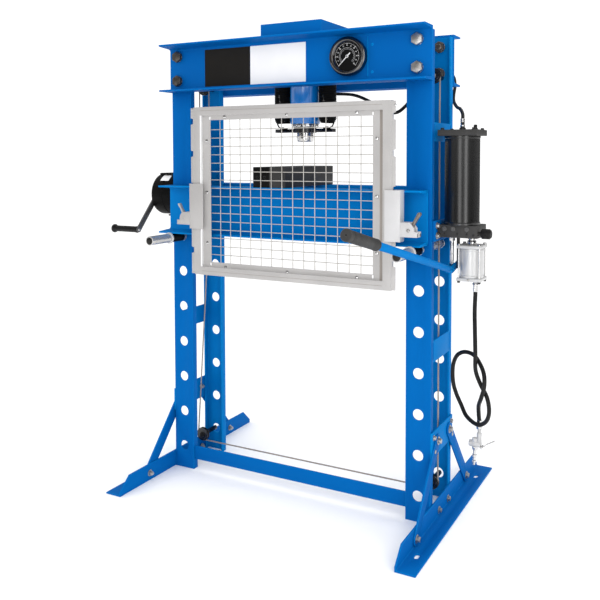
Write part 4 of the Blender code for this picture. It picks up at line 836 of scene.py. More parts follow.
def make_hoses():
    down = -HOSE_STRAIGHT * Z
    shift = PUMP_SHIFT * X
    middle = [at(*point) + shift for point in AIR_HOSE_MIDDLE]
    route = [AIR_HOSE_START, AIR_HOSE_START + down, *middle, middle[-1] + down]
    points = smooth_route(route, 0.008)
    air_hose = hose("air_hose_line", points, AIR_HOSE, "air_hose")
    upper = ferrule("air_hose_upper_ferrule", AIR_HOSE_START - Z * 0.030, Z, AIR_HOSE)
    lower = ferrule("air_hose_lower_ferrule", points[-1] + Z * 0.026, -Z, AIR_HOSE)
    valve = make_air_valve(points[-1])
    tank_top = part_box("pump_tank")[1].z
    start = at(0.6761, -0.035, tank_top + 0.0003)
    turn = radians(50)
    out = Vector((cos(turn), sin(turn), 0))
    port = at(0, 0, 1.506 + 0.126) + out * (0.0615 + 0.014)
    middle = [at(*point) + shift for point in OIL_HOSE_MIDDLE]
    route = [start, start - down, *middle, port + out * (OIL_HOSE - 0.0003), port + out * 0.0003]
    points = smooth_route(route, 0.008)
    oil_hose = hose("oil_hose_line", points, OIL_HOSE, "oil_hose")
    first = ferrule("oil_hose_tank_ferrule", start + Z * 0.028, -Z, OIL_HOSE)
    second = ferrule("oil_hose_port_ferrule", port + out * 0.028, -out, OIL_HOSE)


def make_air_valve(top):
    """A ball valve with hexagon ends on the hose's lower end, its stem nut and its nipple."""
    low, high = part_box("air_valve_body")
    y = (low.y + high.y) / 2
    neck = Vector((top.x, y, high.z))
    left, right = low.x + 0.0005, high.x - 0.0005
    middle = Vector(((left + right) / 2, y, neck.z - 0.0651))
    body = together(
        rod(
            (left + 0.010, y, middle.z), (right - 0.010, y, middle.z), 0.0125, sides=36, edge=0.002
        ),
        hexagon((right - 0.012, y, middle.z), X, 0.023, 0.012),
        hexagon((left + 0.012, y, middle.z), -X, 0.023, 0.012),
        rod(neck - Z * 0.062, neck - Z * 0.030, 0.0085, sides=28, edge=0.001),
        rod(middle + Z * 0.004, middle + Z * 0.022, 0.011, sides=28, edge=0.0015),
        hexagon(neck - Z * 0.034, Z, 0.017, 0.012),
        thread(neck - Z * 0.024, Z, 0.0065, 0.022),
    )
    valve = piece("air_valve_case", body, "motor_aluminium", "frame", "air_valve_body")
    end = Vector((middle.x - 0.004, y, low.z))
    start = middle - Z * 0.010
    run = (end - start).normalized()
    nipple = together(
        hexagon(start, run, 0.019, 0.014),
        turned(
            [
                (0, 0.012), (0.0062, 0.012), (0.0062, 0.030), (0.0085, 0.032), (0.0085, 0.040),
                (0.0052, 0.043), (0.0052, 0.052), (0.0070, 0.054), (0.0070, 0.060),
                (0.0045, 0.064), (0.0045, (end - start).length), (0, (end - start).length),
            ],
            start, run, 28,
        ),
    )
    nipple = piece("air_valve_nipple", nipple, "polished_steel", "frame")
    return [valve, nipple, make_air_valve_lever()]


def make_air_valve_lever():
    """The valve's blade: a bent strip from its stem nut, with a round end."""
    low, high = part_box("air_valve_lever")
    y = (low.y + high.y) / 2
    pivot = Vector((low.x + 0.004, y, low.z + 0.004))
    lean = radians(60)
    run = Vector((sin(lean), 0, cos(lean)))
    rise = Vector((-cos(lean), 0, sin(lean)))
    half = 0.0012
    outline = [
        pivot - run * 0.003 - rise * half,
        pivot + run * 0.014 - rise * half,
        pivot + run * 0.020 - rise * (half - 0.003),
        pivot + run * 0.055 - rise * (half - 0.003),
        pivot + run * 0.055 + rise * (half + 0.003),
        pivot + run * 0.019 + rise * (half + 0.003),
        pivot + run * 0.013 + rise * half,
        pivot - run * 0.003 + rise * half,
    ]
    blade = drawn([point - Y * 0.007 for point in outline], Y * 0.014, 0.0005)
    stem = together(
        rod(pivot - Y * 0.012, pivot + Y * 0.012, 0.004, sides=20, edge=0.0006),
        hexagon(pivot - Y * 0.007, -Y, 0.0085, 0.0045),
    )
    shape = together(blade, stem)
    return piece("air_valve_blade", shape, "polished_steel", "air_valve_lever", "air_valve_lever")


# Frame

WEB = 0.008
BED_PLANES = {-1: 0.05, 1: 0.02}
PULLEY_X = 0.545
ROPE_PITCH = 0.0255
LUG_BOTTOM = 1.1701
LUG_RISE = 0.03
POST_INNER = 0.491
BED_HALF_DEPTH = 0.1262
FOOT_FACE = 0.5953


def rolled_channel(front, row):
    """A rolled channel with thin flange tips and filleted roots, from the front one's box."""
    low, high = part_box(front)
    depth = high.y - low.y
    web = WEB
    root, tip = 0.0125, 0.0072
    bottom, top = low.z, high.z
    across = [
        (0, bottom), (0, top), (depth, top), (depth, top - tip), (web, top - root),
        (web, bottom + root), (depth, bottom + tip), (depth, bottom),
    ]
    inner = row * (AXIS.y - high.y)
    outline = [(low.x, AXIS.y + row * (abs(inner) + out), z) for out, z in across]
    shape = drawn(outline, (high.x - low.x) * X)

    def runs_along(edge, distance):
        along = abs((edge.verts[0].co - edge.verts[1].co).normalized().x) > 0.9
        return along and abs(abs(middle_of(edge).y - AXIS.y) - abs(inner) - distance) < 1e-4

    def is_tip(edge):
        return bottom + 0.001 < middle_of(edge).z < top - 0.001 and runs_along(edge, depth)

    rounded(shape, 0.009, 4, lambda edge: runs_along(edge, web))
    rounded(shape, 0.0045, 3, is_tip)
    return rounded(shape, 0.0012, 2)


def make_beams():
    for row, name in ((-1, "front"), (1, "rear")):
        shape = rolled_channel("top_beam_front", row)
        piece(f"top_beam_{name}_body", shape, "blue_enamel", "frame", f"top_beam_{name}")
    # The bed channels take the blue enamel painted lighter: painted light against their shade.
    for row, name in ((-1, "front"), (1, "rear")):
        shape = rolled_channel("bed_channel_front", row)
        if row > 0:
            shape = together(shape, *bed_spacers())
        piece(f"bed_channel_{name}_body", shape, "blue_enamel_painted_lighter", "bed", f"bed_channel_{name}")


def bed_spacers():
    """The plates between the two bed channels, and the lugs that the rope's ends go through."""
    low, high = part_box("bed_channel_front")
    outer = POST_INNER - 0.024
    top = high.z - 0.049
    shapes = []
    for side in (-1, 1):
        edges = sorted((side * (outer - 0.012), side * outer))
        start, end = at(edges[0], -BED_HALF_DEPTH, low.z + 0.03), at(edges[1], 0.130, high.z - 0.03)
        shapes.append(block(start, end, 0.001))
        rope_x = PULLEY_X + ROPE_PITCH if side < 0 else PULLEY_X - ROPE_PITCH
        edges = sorted((side * (outer - 0.006), side * (rope_x + 0.010)))
        plane = BED_PLANES[side]
        start, end = at(edges[0], plane - 0.010, top - LUG_RISE), at(edges[1], plane + 0.010, top)
        shapes.append(block(start, end, 0.002))
        collar = at(side * rope_x, plane, top)
        shapes.append(rod(collar, collar + Z * 0.004, 0.0075, sides=20, edge=0.0008))
    return shapes


def make_frame():
    # The rear posts and the side plates take the blue enamel painted lighter: painted light against
    # the shade they lie in.
    for row, finish in (("front", "blue_enamel"), ("rear", "blue_enamel_painted_lighter")):
        for side in ("left", "right"):
            finished(f"post_{row}_{side}", finish, 0.0012, fillet=0.003)
            finished(f"brace_{row}_{side}", "blue_enamel", 0.0008)
    for side in ("left", "right"):
        for level in ("upper", "middle", "lower"):
            finished(f"side_plate_{level}_{side}", "blue_enamel_painted_lighter", 0.0008)
        finished(f"foot_{side}", "blue_enamel", 0.0009, fillet=0.004)
    finished("tie_bar", "blue_enamel", 0.0009)
    finished("crown_box", "blue_enamel", 0.0014)
    finished("pump_bracket", "blue_enamel", 0.0012)
    make_beams()
    make_welds()


def weld(start, end, radius=0.0035, step=0.006):
    """A bead of overlapping ripples between two points."""
    start, end = Vector(start), Vector(end)
    run = end - start
    count = max(2, round(run.length / step))
    profile = [(0, 0)]
    for index in range(count):
        base = run.length * index / count
        profile += [
            (radius * 0.82, base + run.length / count * 0.15),
            (radius, base + run.length / count * 0.6),
        ]
    profile += [(radius * 0.7, run.length), (0, run.length)]
    return turned(profile, start, run, 12)


def make_welds():
    """Beads where the crown box meets the beams, and where side plates meet the posts."""
    low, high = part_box("crown_box")
    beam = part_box("top_beam_front")[1]
    shapes = []
    for x in (low.x, high.x):
        for y in (low.y + 0.0005, high.y - 0.0005):
            shapes.append(weld((x, y, low.z + 0.004), (x, y, beam.z - 0.002)))
    for y in (low.y - 0.001, high.y + 0.001):
        shapes.append(weld((low.x + 0.004, y, beam.z), (high.x - 0.004, y, beam.z)))
    for side in ("left", "right"):
        for level in ("upper", "middle"):
            low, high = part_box(f"side_plate_{level}_{side}")
            x = low.x + 0.001 if side == "left" else high.x - 0.001
            for y in (low.y - 0.001, high.y + 0.001):
                shapes.append(weld((x, y, low.z + 0.006), (x, y, high.z - 0.006), 0.0028))
    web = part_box("top_beam_front")[1].y - 0.0082
    seam = at(0.339, 0, 1.672)
    seam.y = web
    marks = [weld(seam, seam + Z * 0.152, 0.0022)]
    for z in (1.793, 1.690):
        dot = at(0.357, 0, z)
        dot.y = web
        marks.append(turned([(0, 0.0016), (0.0035, 0.0012), (0.0055, 0), (0, 0)], dot, FRONT, 20))
    # The seam and its dots take the blue painted lighter: a painted highlight along the weld.
    piece("beam_seam", together(*marks), "blue_enamel_painted_lighter", "frame")
    piece("frame_welds", together(*shapes), "blue_enamel", "frame")
    low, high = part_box("bed_channel_front")
    shapes = []
    for side in (-1, 1):
        for x in (0.454, 0.468):
            for y in (-BED_HALF_DEPTH, BED_HALF_DEPTH):
                start = at(side * x, y, low.z + 0.034)
                shapes.append(weld(start, start + Z * (high.z - low.z - 0.068), 0.003))
    # The bed's welds take the same blue painted lighter as the bed.
    piece("bed_welds", together(*shapes), "blue_enamel_painted_lighter", "bed")


def make_bolts():
    """The frame's hexagon bolts, nuts and washers."""
    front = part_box("top_beam_front")[1].y - WEB
    rear = 2 * AXIS.y - front
    shapes = []
    worn = []
    for x, z in ((-0.549, 1.801), (-0.549, 1.698), (0.537, 1.7995), (0.537, 1.697)):
        head = bolt(at(x, 0, z) + Y * (front - AXIS.y), FRONT, 0.042, 0.015, 1.04)
        (worn if x < 0 else shapes).append(head)
        shapes.append(bolt(at(x, 0, z) + Y * (rear - AXIS.y), Y, 0.042, 0.015, 1.04))
        inside = at(x, 0, z)
        shapes.append(bolt(inside - Y * 0.1195, Y, 0.038, 0.015, 1.15, 0.007))
        worn.append(bolt(inside + Y * 0.1195, FRONT, 0.038, 0.015, 1.15, 0.009))
    for side in (-1, 1):
        outer = FOOT_FACE + 0.0063
        for y in (-0.07, 0.07):
            shapes.append(bolt(at(side * outer, y, 0.303), side * X, 0.019, 0.010))
            shapes.append(bolt(at(side * 0.5890, y, 0.303), -side * X, 0.017, 0.010, 1.5, 0.006))
        for y in (-0.305, 0.305):
            shapes.append(bolt(at(side * outer, y, 0.0313), side * X, 0.019, 0.010))
        for y in (-0.040, 0.072):
            shapes.append(bolt(at(side * FOOT_FACE, y, 0.024), side * X, 0.017, 0.009))
        for y in (-0.305, 0.305):
            shapes.append(bolt(at(side * 0.5893, y, 0.0313), -side * X, 0.018, 0.010, 1.5, 0.007))
        for y in (-0.091, 0.064):
            shapes.append(bolt(at(side * 0.5830, y, 0.024), -side * X, 0.017, 0.009, 1.5, 0.005))
    for side in (-1, 1):
        for y in (-0.105, 0.105):
            for z in (0.272, 0.324):
                shapes.append(bolt(at(side * FOOT_FACE, y, z), side * X, 0.014, 0.007, 1.5))
    piece("frame_bolts", together(*shapes), "zinc_bolt", "frame")
    piece("worn_bolts", together(*worn), "worn_bolt", "frame")
    low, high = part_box("pump_bracket")
    shapes = []
    for y in (low.y + 0.020, high.y - 0.020):
        for z in (low.z + 0.020, high.z - 0.018):
            shapes.append(bolt((high.x, y, z), X, 0.016, 0.009))
    piece("pump_bracket_bolts", together(*shapes), "zinc_bolt", "frame")


# Cylinder, ram and springs


def make_cylinder():
    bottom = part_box("cylinder_barrel")[0].z
    outer = 0.0615
    profile = [
        (outer - 0.004, 1.8990), (outer, 1.895), (outer, bottom + 0.003),
        (outer - 0.0015, bottom + 0.0006), (outer - 0.008, bottom), (0.0345, bottom),
        (0.0345, bottom + 0.03), (outer - 0.008, bottom + 0.034), (outer - 0.008, 1.8990),
    ]
    # The barrel's blue is painted lighter than the frame's, against its shade.
    piece("cylinder_body", turned(profile, AXIS, Z, 72), "blue_barrel_painted_lighter", "frame", "cylinder_barrel")
    turn = radians(50)
    out = Vector((cos(turn), sin(turn), 0))
    port = at(0, 0, bottom + 0.126) + out * 0.060
    boss = together(
        rod(port, port + out * 0.010, 0.0115, sides=28, edge=0.001),
        hexagon(port + out * 0.008, out, 0.018, 0.0072),
    )
    piece("cylinder_port", boss, "zinc_bolt", "frame")
    ring = [turned(
        [(0.0352, 0.0010), (0.0500, 0.0010), (0.0515, 0.0025), (0.0515, 0.0118), (0.0352, 0.0118)],
        at(0, 0, bottom - 0.0120), Z, 72,
    )]
    teeth = 16
    for index in range(teeth):
        angle = tau * index / teeth
        heading = Vector((cos(angle), sin(angle), 0))
        side = Z.cross(heading)
        corner = at(0, 0, bottom - 0.0118) + heading * 0.0500
        outline = [
            corner - side * 0.0058, corner + side * 0.0058,
            corner + side * 0.0054 + heading * 0.0062, corner - side * 0.0054 + heading * 0.0062,
        ]
        ring.append(drawn(outline, Z * 0.0112, 0.0006))
    piece("gland_ring", together(*ring), "polished_steel", "frame")


def make_ram():
    low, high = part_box("ram")
    radius = 0.034
    piston = 0.0532
    length = high.z - low.z
    shoulder = length - 0.05
    profile = [
        (0, length), (piston - 0.002, length), (piston, length - 0.002),
        (piston, length - 0.018), (piston - 0.003, length - 0.018),
        (piston - 0.003, length - 0.024), (piston, length - 0.024), (piston, shoulder),
        (radius, shoulder), (radius, 0.031), (radius - 0.0008, 0.0302), (radius - 0.0008, 0.0288),
        (radius, 0.028), (radius, 0.003), (radius - 0.001, 0.001), (radius - 0.003, 0),
        (0.012, 0), (0.010, 0.003), (0, 0.003),
    ]
    shape = turned(profile, (AXIS.x, AXIS.y, low.z), Z, 72)
    piece("ram_rod", shape, "polished_steel", "ram", "ram")
    screw = turned(
        [(0, 0.0012), (0.0026, 0.0012), (0.0028, 0.0022), (0.0056, 0.0022), (0.0062, 0.0012),
         (0.0062, -0.004), (0, -0.004)],
        at(0.004, -radius + 0.0002, low.z + 0.019), FRONT, 28,
    )
    piece("nose_set_screw", screw, "dark_end", "ram")
    finished("spring_yoke", "black_enamel", 0.0018, fillet=0.003)
    pads = []
    for side in (-1, 1):
        middle = at(side * 0.104, 0, 1.4860)
        pads.append(bolt(middle - Y * 0.008, Z, 0.013, 0.007, 1.5))
    piece("spring_hook_nuts", together(*pads), "dark_end", "ram")


def make_springs():
    """Close-wound springs, each hooked under the crown box and over the yoke."""
    wire = 0.006
    radius = (0.074 - wire) / 2
    low, high = 1.522, 1.7865
    for side, name in ((-1, "left"), (1, "right")):
        centre = at(side * 0.104, 0, 0)
        turn = 0 if side < 0 else pi
        straight = coil(centre, radius, low + 0.008, high, 41, 18, turn)
        neck = []
        steps = 72
        for step in range(steps):
            share = step / steps
            angle = tau * 3.5 * (share - 1) + turn
            wide = 0.0255 + (radius - 0.0255) * sin(share * pi / 2)
            around = Vector((cos(angle), sin(angle), 0)) * wide
            neck.append(centre + around + Z * (1.5095 + (low + 0.008 - 1.5095) * share))
        bends = (
            (-0.020, 1.4895), (-0.004, 1.4890), (0.010, 1.4900), (0.0195, 1.4945), (0.0245, 1.5015),
        )
        hook = [centre + X * side * out + Z * height for out, height in bends]
        points = smooth_route([*hook, *neck[1:6:2]], 0.004)[:-1] + neck[5:] + straight
        obj = piece(
            f"return_spring_{name}_coil", tube(points, wire, 2), "satin_black", None,
            f"return_spring_{name}",
        )
        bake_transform(obj)


# Bed


def make_press_bars():
    drill = [
        (0, -0.0005), (0.0035, -0.0005), (0.0048, 0.0004), (0.0052, 0.0), (0.0052, -0.001),
        (0, -0.001),
    ]
    for name, finish in (("left", "dark_bar"), ("right", "oiled_bar")):
        finished(f"press_bar_{name}", finish, 0.0006, 1)
        low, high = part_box(f"press_bar_{name}")
        middle = (low.x + high.x) / 2
        marks = []
        for y in (low.y, high.y):
            heading = FRONT if y == low.y else Y
            for x in (middle - 0.017, middle + 0.017):
                marks.append(turned(drill, (x, y, (low.z + high.z) / 2), heading, 20))
        piece(f"press_bar_{name}_centre_drills", together(*marks), "dark_end", "bed")


def make_bed_pins():
    for name in ("left", "right"):
        low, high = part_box(f"bed_pin_{name}")
        x, z = (low.x + high.x) / 2, (low.z + high.z) / 2
        start = Vector((x, low.y, z))
        length = high.y - low.y
        radius = 0.019
        collar = 0.1342
        profile = [
            (0, 0.0012), (0.0150, 0.0012), (0.0155, 0), (radius - 0.0014, 0), (radius, 0.0014),
            (radius, collar - 0.010), (radius, collar), (radius, length - 0.003),
            (radius - 0.003, length), (0, length),
        ]
        body = f"bed_pin_{name}"
        piece(f"{body}_shaft", turned(profile, start, Y, 56), "pin_steel", body, body)
        disc = rod(start + Y * 0.0002, start + Y * 0.0022, 0.0148, sides=48, edge=0.0005)
        piece(f"{body}_end_disc", disc, "dark_end", body)
        ring = turned(
            [
                (radius - 0.0005, collar - 0.0100), (0.0220, collar - 0.0100),
                (0.0235, collar - 0.0085), (0.0235, collar - 0.0012), (0.0225, collar - 0.0002),
                (radius - 0.0005, collar - 0.0002),
            ],
            start, Y, 56,
        )
        piece(f"{body}_collar", ring, "pale_aluminium", body)
        # A satin black band on the shaft behind the collar: a painted dark reflection where the pin
        # runs towards the post.
        painted_reflection_band = turned(
            [
                (radius - 0.0005, collar + 0.0005), (radius + 0.0004, collar + 0.0010),
                (radius + 0.0004, collar + 0.080), (radius - 0.0005, collar + 0.0805),
            ],
            start, Y, 48,
        )
        piece(f"{body}_sleeve", painted_reflection_band, "satin_black", body)


# Guard


def make_guard():
    finished("guard_frame", "guard_aluminium", 0.0007)
    make_guard_wires()
    low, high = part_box("guard_frame")
    band = 0.0325
    left, right = low.x + 0.0165, high.x - 0.0165
    bottom, top = low.z, high.z
    face = low.y
    lip = low.y + 0.011
    foot, head = bottom + 0.034, top - 0.034
    # A near-white strip along the left band's inner wall: a painted highlight where the wall catches
    # the light.
    start = (left + band - 0.0015, face - 0.0012, foot)
    end = (left + band + 0.0034, lip + 0.001, head)
    piece("guard_left_ridge_highlight", block(start, end, 0.0009), "highlight_and_pale_tab", "guard")
    # A greyish-brown strip in the groove beside the right band: painted shade where the band's wall
    # hides the light.
    start = (right - band - 0.0150, lip - 0.0009, foot)
    end = (right - band - 0.0015, lip + 0.0006, head)
    piece("guard_right_groove_shade", block(start, end, 0.0003), "groove_shade_and_seam", "guard")
    seams = []
    for z in (bottom + 0.0165, top - 0.0145):
        start = (left + 0.034, face - 0.0005, z - 0.0007)
        seams.append(block(start, (right - 0.034, face + 0.001, z + 0.0007), 0.0003, 1))
    piece("guard_seams", together(*seams), "groove_shade_and_seam", "guard")
    tabs = []
    for side, x in ((1, left + band + 0.0425), (-1, right - band - 0.0425)):
        for way, z in ((1, bottom + 0.0535), (-1, top - 0.0535)):
            corner_x, corner_z = x - side * 0.004, z - way * 0.004
            xs = sorted((corner_x, corner_x + side * 0.0055))
            zs = sorted((corner_z - way * 0.010, corner_z + way * 0.002))
            tabs.append(block((xs[0], lip - 0.0025, zs[0]), (xs[1], lip + 0.004, zs[1]), 0.0006))
    piece("guard_corner_tabs", together(*tabs), "highlight_and_pale_tab", "guard")
    screws = []
    rows = ((-0.240, 0.046, 0.341), (1.533, 0.925))
    columns = ((-0.329, 0.421), (1.437, 1.227, 1.020))
    for xs, zs in (rows, columns):
        for x in xs:
            for z in zs:
                screws.append(cross_screw((AXIS.x + x, lip, z), FRONT, 0.0075))
    for x, z in ((-0.392, 1.566), (0.495, 1.556)):
        screws.append(cross_screw((AXIS.x + x, face + 0.0025, z), FRONT, 0.0045))
    piece("guard_screws", together(*screws), "polished_steel", "guard")


def make_guard_wires():
    """Crossed wires welded behind the guard's lip."""
    low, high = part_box("guard_mesh")
    gauge = 0.0016
    front, back = low.y + gauge, low.y + 2.8 * gauge
    shapes = []
    for index in range(14):
        x = AXIS.x - 0.265 + 0.0478 * index
        shapes.append(rod((x, front, low.z + 0.002), (x, front, high.z - 0.002), gauge, sides=10))
    for index in range(16):
        z = 1.482 - 0.034 * index
        shapes.append(rod((low.x + 0.002, back, z), (high.x - 0.002, back, z), gauge, sides=10))
    piece("guard_wires", together(*shapes), "galvanised_wire", "guard", "guard_mesh")


def make_latches():
    """Guide brackets, the catch housings beside them and their finger levers."""
    finished("guide_bracket_left", "guard_aluminium", 0.0008, fillet=0.0015)
    # The right-hand bracket takes the paler aluminium: painted light on the side the lamps face.
    finished("guide_bracket_right", "pale_aluminium", 0.0008, fillet=0.0015)
    for side, name in ((-1, "left"), (1, "right")):
        low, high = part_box(f"latch_housing_{name}")
        inner = high.x if side < 0 else low.x
        front, back = low.y, high.y
        width, height = high.x - low.x, high.z - low.z
        step = 0.013

        def from_inner(out, up, depth):
            return Vector((inner + side * out, depth, low.z + up))

        if side < 0:
            reach, foot = width - step - 0.014, height - 0.030
            shoulder = [(reach + 0.014, foot)] + [
                (reach - 0.006 + 0.020 * point.x, foot + 0.030 * point.z)
                for point in arc((0, 0, 0), 1, 0, pi / 2, 8)
            ]
        else:
            shoulder = [(width - step, height - 0.021), (width - step - 0.015, height)]
        outline = [(0, 0), (width, 0), (width, 0.019), (width - step, 0.019), *shoulder]
        outline.append((0, height))
        cheek = 0.0112
        shapes = [
            drawn([from_inner(out, up, front) for out, up in outline], Y * cheek, 0.0009),
            drawn([from_inner(out, up, back - cheek) for out, up in outline], Y * cheek, 0.0009),
        ]
        floor_top = 0.0165
        for reach, top, edge in (
            (width, low.z + floor_top - 0.003, 0.0009), (0.003, high.z - 0.001, 0.0004),
        ):
            edges = sorted((inner, inner + side * reach))
            start, end = (edges[0], front + 0.001, low.z), (edges[1], back - 0.001, top)
            shapes.append(block(start, end, edge))
        # The right-hand housing takes the paler aluminium: painted light on the side the lamps face.
        finish = "guard_aluminium" if side < 0 else "pale_aluminium"
        node = f"latch_housing_{name}"
        piece(f"{node}_case", together(*shapes), finish, "bed", node)
        pivot = Vector((inner + side * 0.030, front, low.z + 0.024))
        if side < 0:
            dots = [
                turned([(0, 0.0003), (0.0016, 0.0003), (0.0022, 0.0006), (0.0026, 0), (0, 0)],
                       pivot + Z * -0.016, FRONT, 16),
                turned([(0, 0.0006), (0.0030, 0.0008), (0.0038, 0), (0, 0)], pivot, FRONT, 20),
            ]
            piece("latch_left_rivets", together(*dots), "zinc_bolt", "bed")
        else:
            piece("latch_right_screw", cross_screw(pivot, FRONT, 0.0068), "zinc_bolt", "bed")
        make_latch_lever(side, name)


def make_latch_lever(side, name):
    low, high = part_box(f"latch_lever_{name}")
    radius = 0.006
    pivot_x = high.x - radius if side < 0 else low.x + radius
    pivot = Vector((pivot_x, low.y, low.z + radius))
    lean = radians(31)
    run = Vector((side * sin(lean), 0, cos(lean)))
    tip = pivot + run * 0.068
    wide = 0.0062 if side > 0 else 0.0040
    neck = 0.0045 if side > 0 else 0.0028
    heading = atan2(run.z, run.x)
    outline = [
        *arc(tip, wide, heading + pi / 2, heading - pi / 2, 12),
        tip - run * 0.020 + neck * (X * cos(heading - pi / 2) + Z * sin(heading - pi / 2)),
        *arc(pivot, radius, heading - pi / 2, heading - 3 * pi / 2, 12),
        tip - run * 0.020 + neck * (X * cos(heading + pi / 2) + Z * sin(heading + pi / 2)),
    ]
    shape = drawn(outline, Y * (high.y - low.y), 0.0009)
    finish = "guard_aluminium" if side < 0 else "bronzed_lever"
    node = f"latch_lever_{name}"
    piece(f"{node}_finger", shape, finish, node, node)


# Gauge


def make_gauge():
    low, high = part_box("gauge_case")
    centre = Vector(((low.x + high.x) / 2, high.y, (low.z + high.z) / 2))
    outer = 0.0745
    depth = high.y - low.y
    face = depth - 0.008
    case = turned(
        [
            (0, 0), (outer - 0.004, 0), (outer - 0.002, 0.002), (outer - 0.002, 0.020),
            (outer, 0.022), (outer, depth - 0.0080), (outer - 0.0012, depth - 0.0050),
            (outer - 0.0040, depth - 0.0030), (outer - 0.0075, depth - 0.0012),
            (outer - 0.0110, depth), (outer - 0.0135, depth - 0.0004),
            (outer - 0.0160, depth - 0.0022), (outer - 0.0205, face + 0.0002),
            (outer - 0.0210, face - 0.0006), (0, face - 0.0006),
        ],
        centre, FRONT, 96,
    )
    piece("gauge_bezel", case, "bezel_black", "frame", "gauge_case")
    back, top = centre + FRONT * (face - 0.0009), centre + FRONT * (face - 0.0002)
    dial = rod(back, top, outer - 0.0206, sides=96)
    piece("gauge_dial", dial, "dial_black", "frame")
    front = centre + FRONT * (face - 0.0001)
    first, sweep = radians(225), radians(270)
    ticks = []
    count = 60
    for index in range(count + 1):
        major = index % 10 == 0
        length = 0.0050 if major else 0.0036 if index % 5 == 0 else 0.0022
        angle = first - sweep * index / count
        ticks.append(tick(front, angle, 0.0500 - length, 0.0500, 0.0008 if major else 0.0004))
    for index in range(41):
        ticks.append(tick(front, first - sweep * index / 40, 0.0262, 0.0285, 0.0003))
    piece("gauge_scale", together(*ticks), "printed_white", "frame")
    band = ring_band(front, 0.0312, 0.0335, first, -sweep)
    piece("gauge_inner_scale", band, "printed_grey", "frame")
    numbers = []
    for index in range(0, count + 1, 5):
        angle = first - sweep * index / count
        place = front + (X * cos(angle) + Z * sin(angle)) * 0.0405
        numbers.append(lettering(str(index), 0.0062, place))
    piece("gauge_numbers", together(*numbers), "printed_white", "frame")
    make_needle(front)


def tick(centre, angle, inner, outer, half):
    """A short bar of a scale, at an angle around its centre and from one radius to another."""
    heading = X * cos(angle) + Z * sin(angle)
    side = heading.cross(Y)
    start, end = centre + heading * inner, centre + heading * outer
    outline = [start - side * half, start + side * half, end + side * half, end - side * half]
    return drawn(outline, FRONT * 0.0003)


def ring_band(centre, inner, outer, first, sweep, steps=72):
    """A flat band along an arc, facing the front."""
    outline = [
        *arc(centre, outer, first, first + sweep, steps),
        *arc(centre, inner, first + sweep, first, steps),
    ]
    return drawn(outline, FRONT * 0.0003)


def lettering(words, height, place):
    """A number as a thin plate that faces the front."""
    text = bpy.data.curves.new("number", "FONT")
    text.body = words
    text.size = height
    text.extrude = 0.00015
    text.align_x, text.align_y = "CENTER", "CENTER"
    shape = mesh_of(text)
    turn = Matrix.Translation(place + FRONT * 0.00015) @ Matrix.Rotation(pi / 2, 4, "X")
    bmesh.ops.transform(shape, matrix=turn, verts=shape.verts)
    return shape


def make_needle(front):
    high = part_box("gauge_needle")[1]
    heading = radians(225)
    run = X * sin(heading) + Z * cos(heading)
    side = run.cross(Y)
    hub = Vector((front.x, high.y, front.z))
    outline = [
        hub - run * 0.0180 - side * 0.0022, hub - run * 0.0180 + side * 0.0022,
        hub + side * 0.0018, hub + run * 0.0480 + side * 0.0005,
        hub + run * 0.0480 - side * 0.0005, hub - side * 0.0018,
    ]
    blade = drawn(outline, FRONT * 0.0009, 0.0002, 1)
    disc = rod(hub, hub + FRONT * 0.0012, 0.0055, sides=32, edge=0.0003)
    piece("needle_blade", together(blade, disc), "printed_white", "needle", "gauge_needle")
    cap = rod(hub + FRONT * 0.0011, hub + FRONT * 0.0024, 0.0034, sides=32, edge=0.0005)
    piece("needle_cap", cap, "bezel_black", "needle")


def make_labels():
    """Bare sticker plates on the front beam."""
    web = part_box("top_beam_front")[1].y - WEB
    for name, left, right, finish in (
        ("dark", -0.370, -0.1445, "dark_label"),
        ("pale", -0.1435, 0.113, "pale_label"),
    ):
        plate = block((left, web - 0.0006, 1.658), (right, web + 0.0002, 1.823), 0.0002, 1)
        piece(f"{name}_label_plate", plate, finish, "frame")


# Rope, pulleys and winch


UPPER_PULLEY_Z = 1.679
LOWER_PULLEY_Z = 0.101
WINCH_Z = 1.2051


def make_rope():
    """The rope around its pulleys, and its two runs down to the bed."""
    rope = 0.006
    plane = 0.02
    drum_x = -(POST_INNER - 0.006) - 0.008
    left_top = at(-PULLEY_X, 0.05, UPPER_PULLEY_Z)
    right_top = at(PULLEY_X, plane, UPPER_PULLEY_Z)
    left_foot = at(-PULLEY_X, plane, LOWER_PULLEY_Z)
    right_foot = at(PULLEY_X, plane, LOWER_PULLEY_Z)
    pitch = ROPE_PITCH
    points = [
        *arc(left_top, pitch, pi, 0, 20),
        at(drum_x, plane, WINCH_Z),
        *arc(left_foot, pitch, pi, 1.5 * pi, 10),
        *arc(right_foot, pitch, -pi / 2, 0, 10),
        *arc(right_top, pitch, 0, pi, 20),
    ]
    piece("rope_main_run", tube(points, rope, 3), "wire_rope", "frame", "wire_rope")
    for name, top in (("left", left_top), ("right", right_top)):
        x = top.x - pitch
        low = Vector((x, top.y, LUG_BOTTOM - 0.012))
        high = Vector((x, top.y, UPPER_PULLEY_Z + 0.0005))
        count = 12
        line = [low.lerp(high, step / count) for step in range(count + 1)]
        run = piece(f"rope_{name}_run", tube(line, rope, 3), "wire_rope", "frame")
        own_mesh(run)
        stop = together(
            rod(low + Z * 0.002, low + Z * 0.0115, 0.0062, sides=24, edge=0.0012),
            rod(low + Z * 0.0002, low + Z * 0.002, 0.0040, sides=16),
        )
        piece(f"rope_{name}_stop", stop, "motor_aluminium", "bed")
    turns = 6
    middle = at(-(POST_INNER - 0.006), -0.02, WINCH_Z)
    last = 0.006 + turns * 0.0062
    wound = coil(middle, 0.0397 - 0.0032, 0.006, last, turns, 24, axis=-X, across=Y)
    piece("rope_on_drum", tube(wound, rope, 3), "wire_rope", "crank")


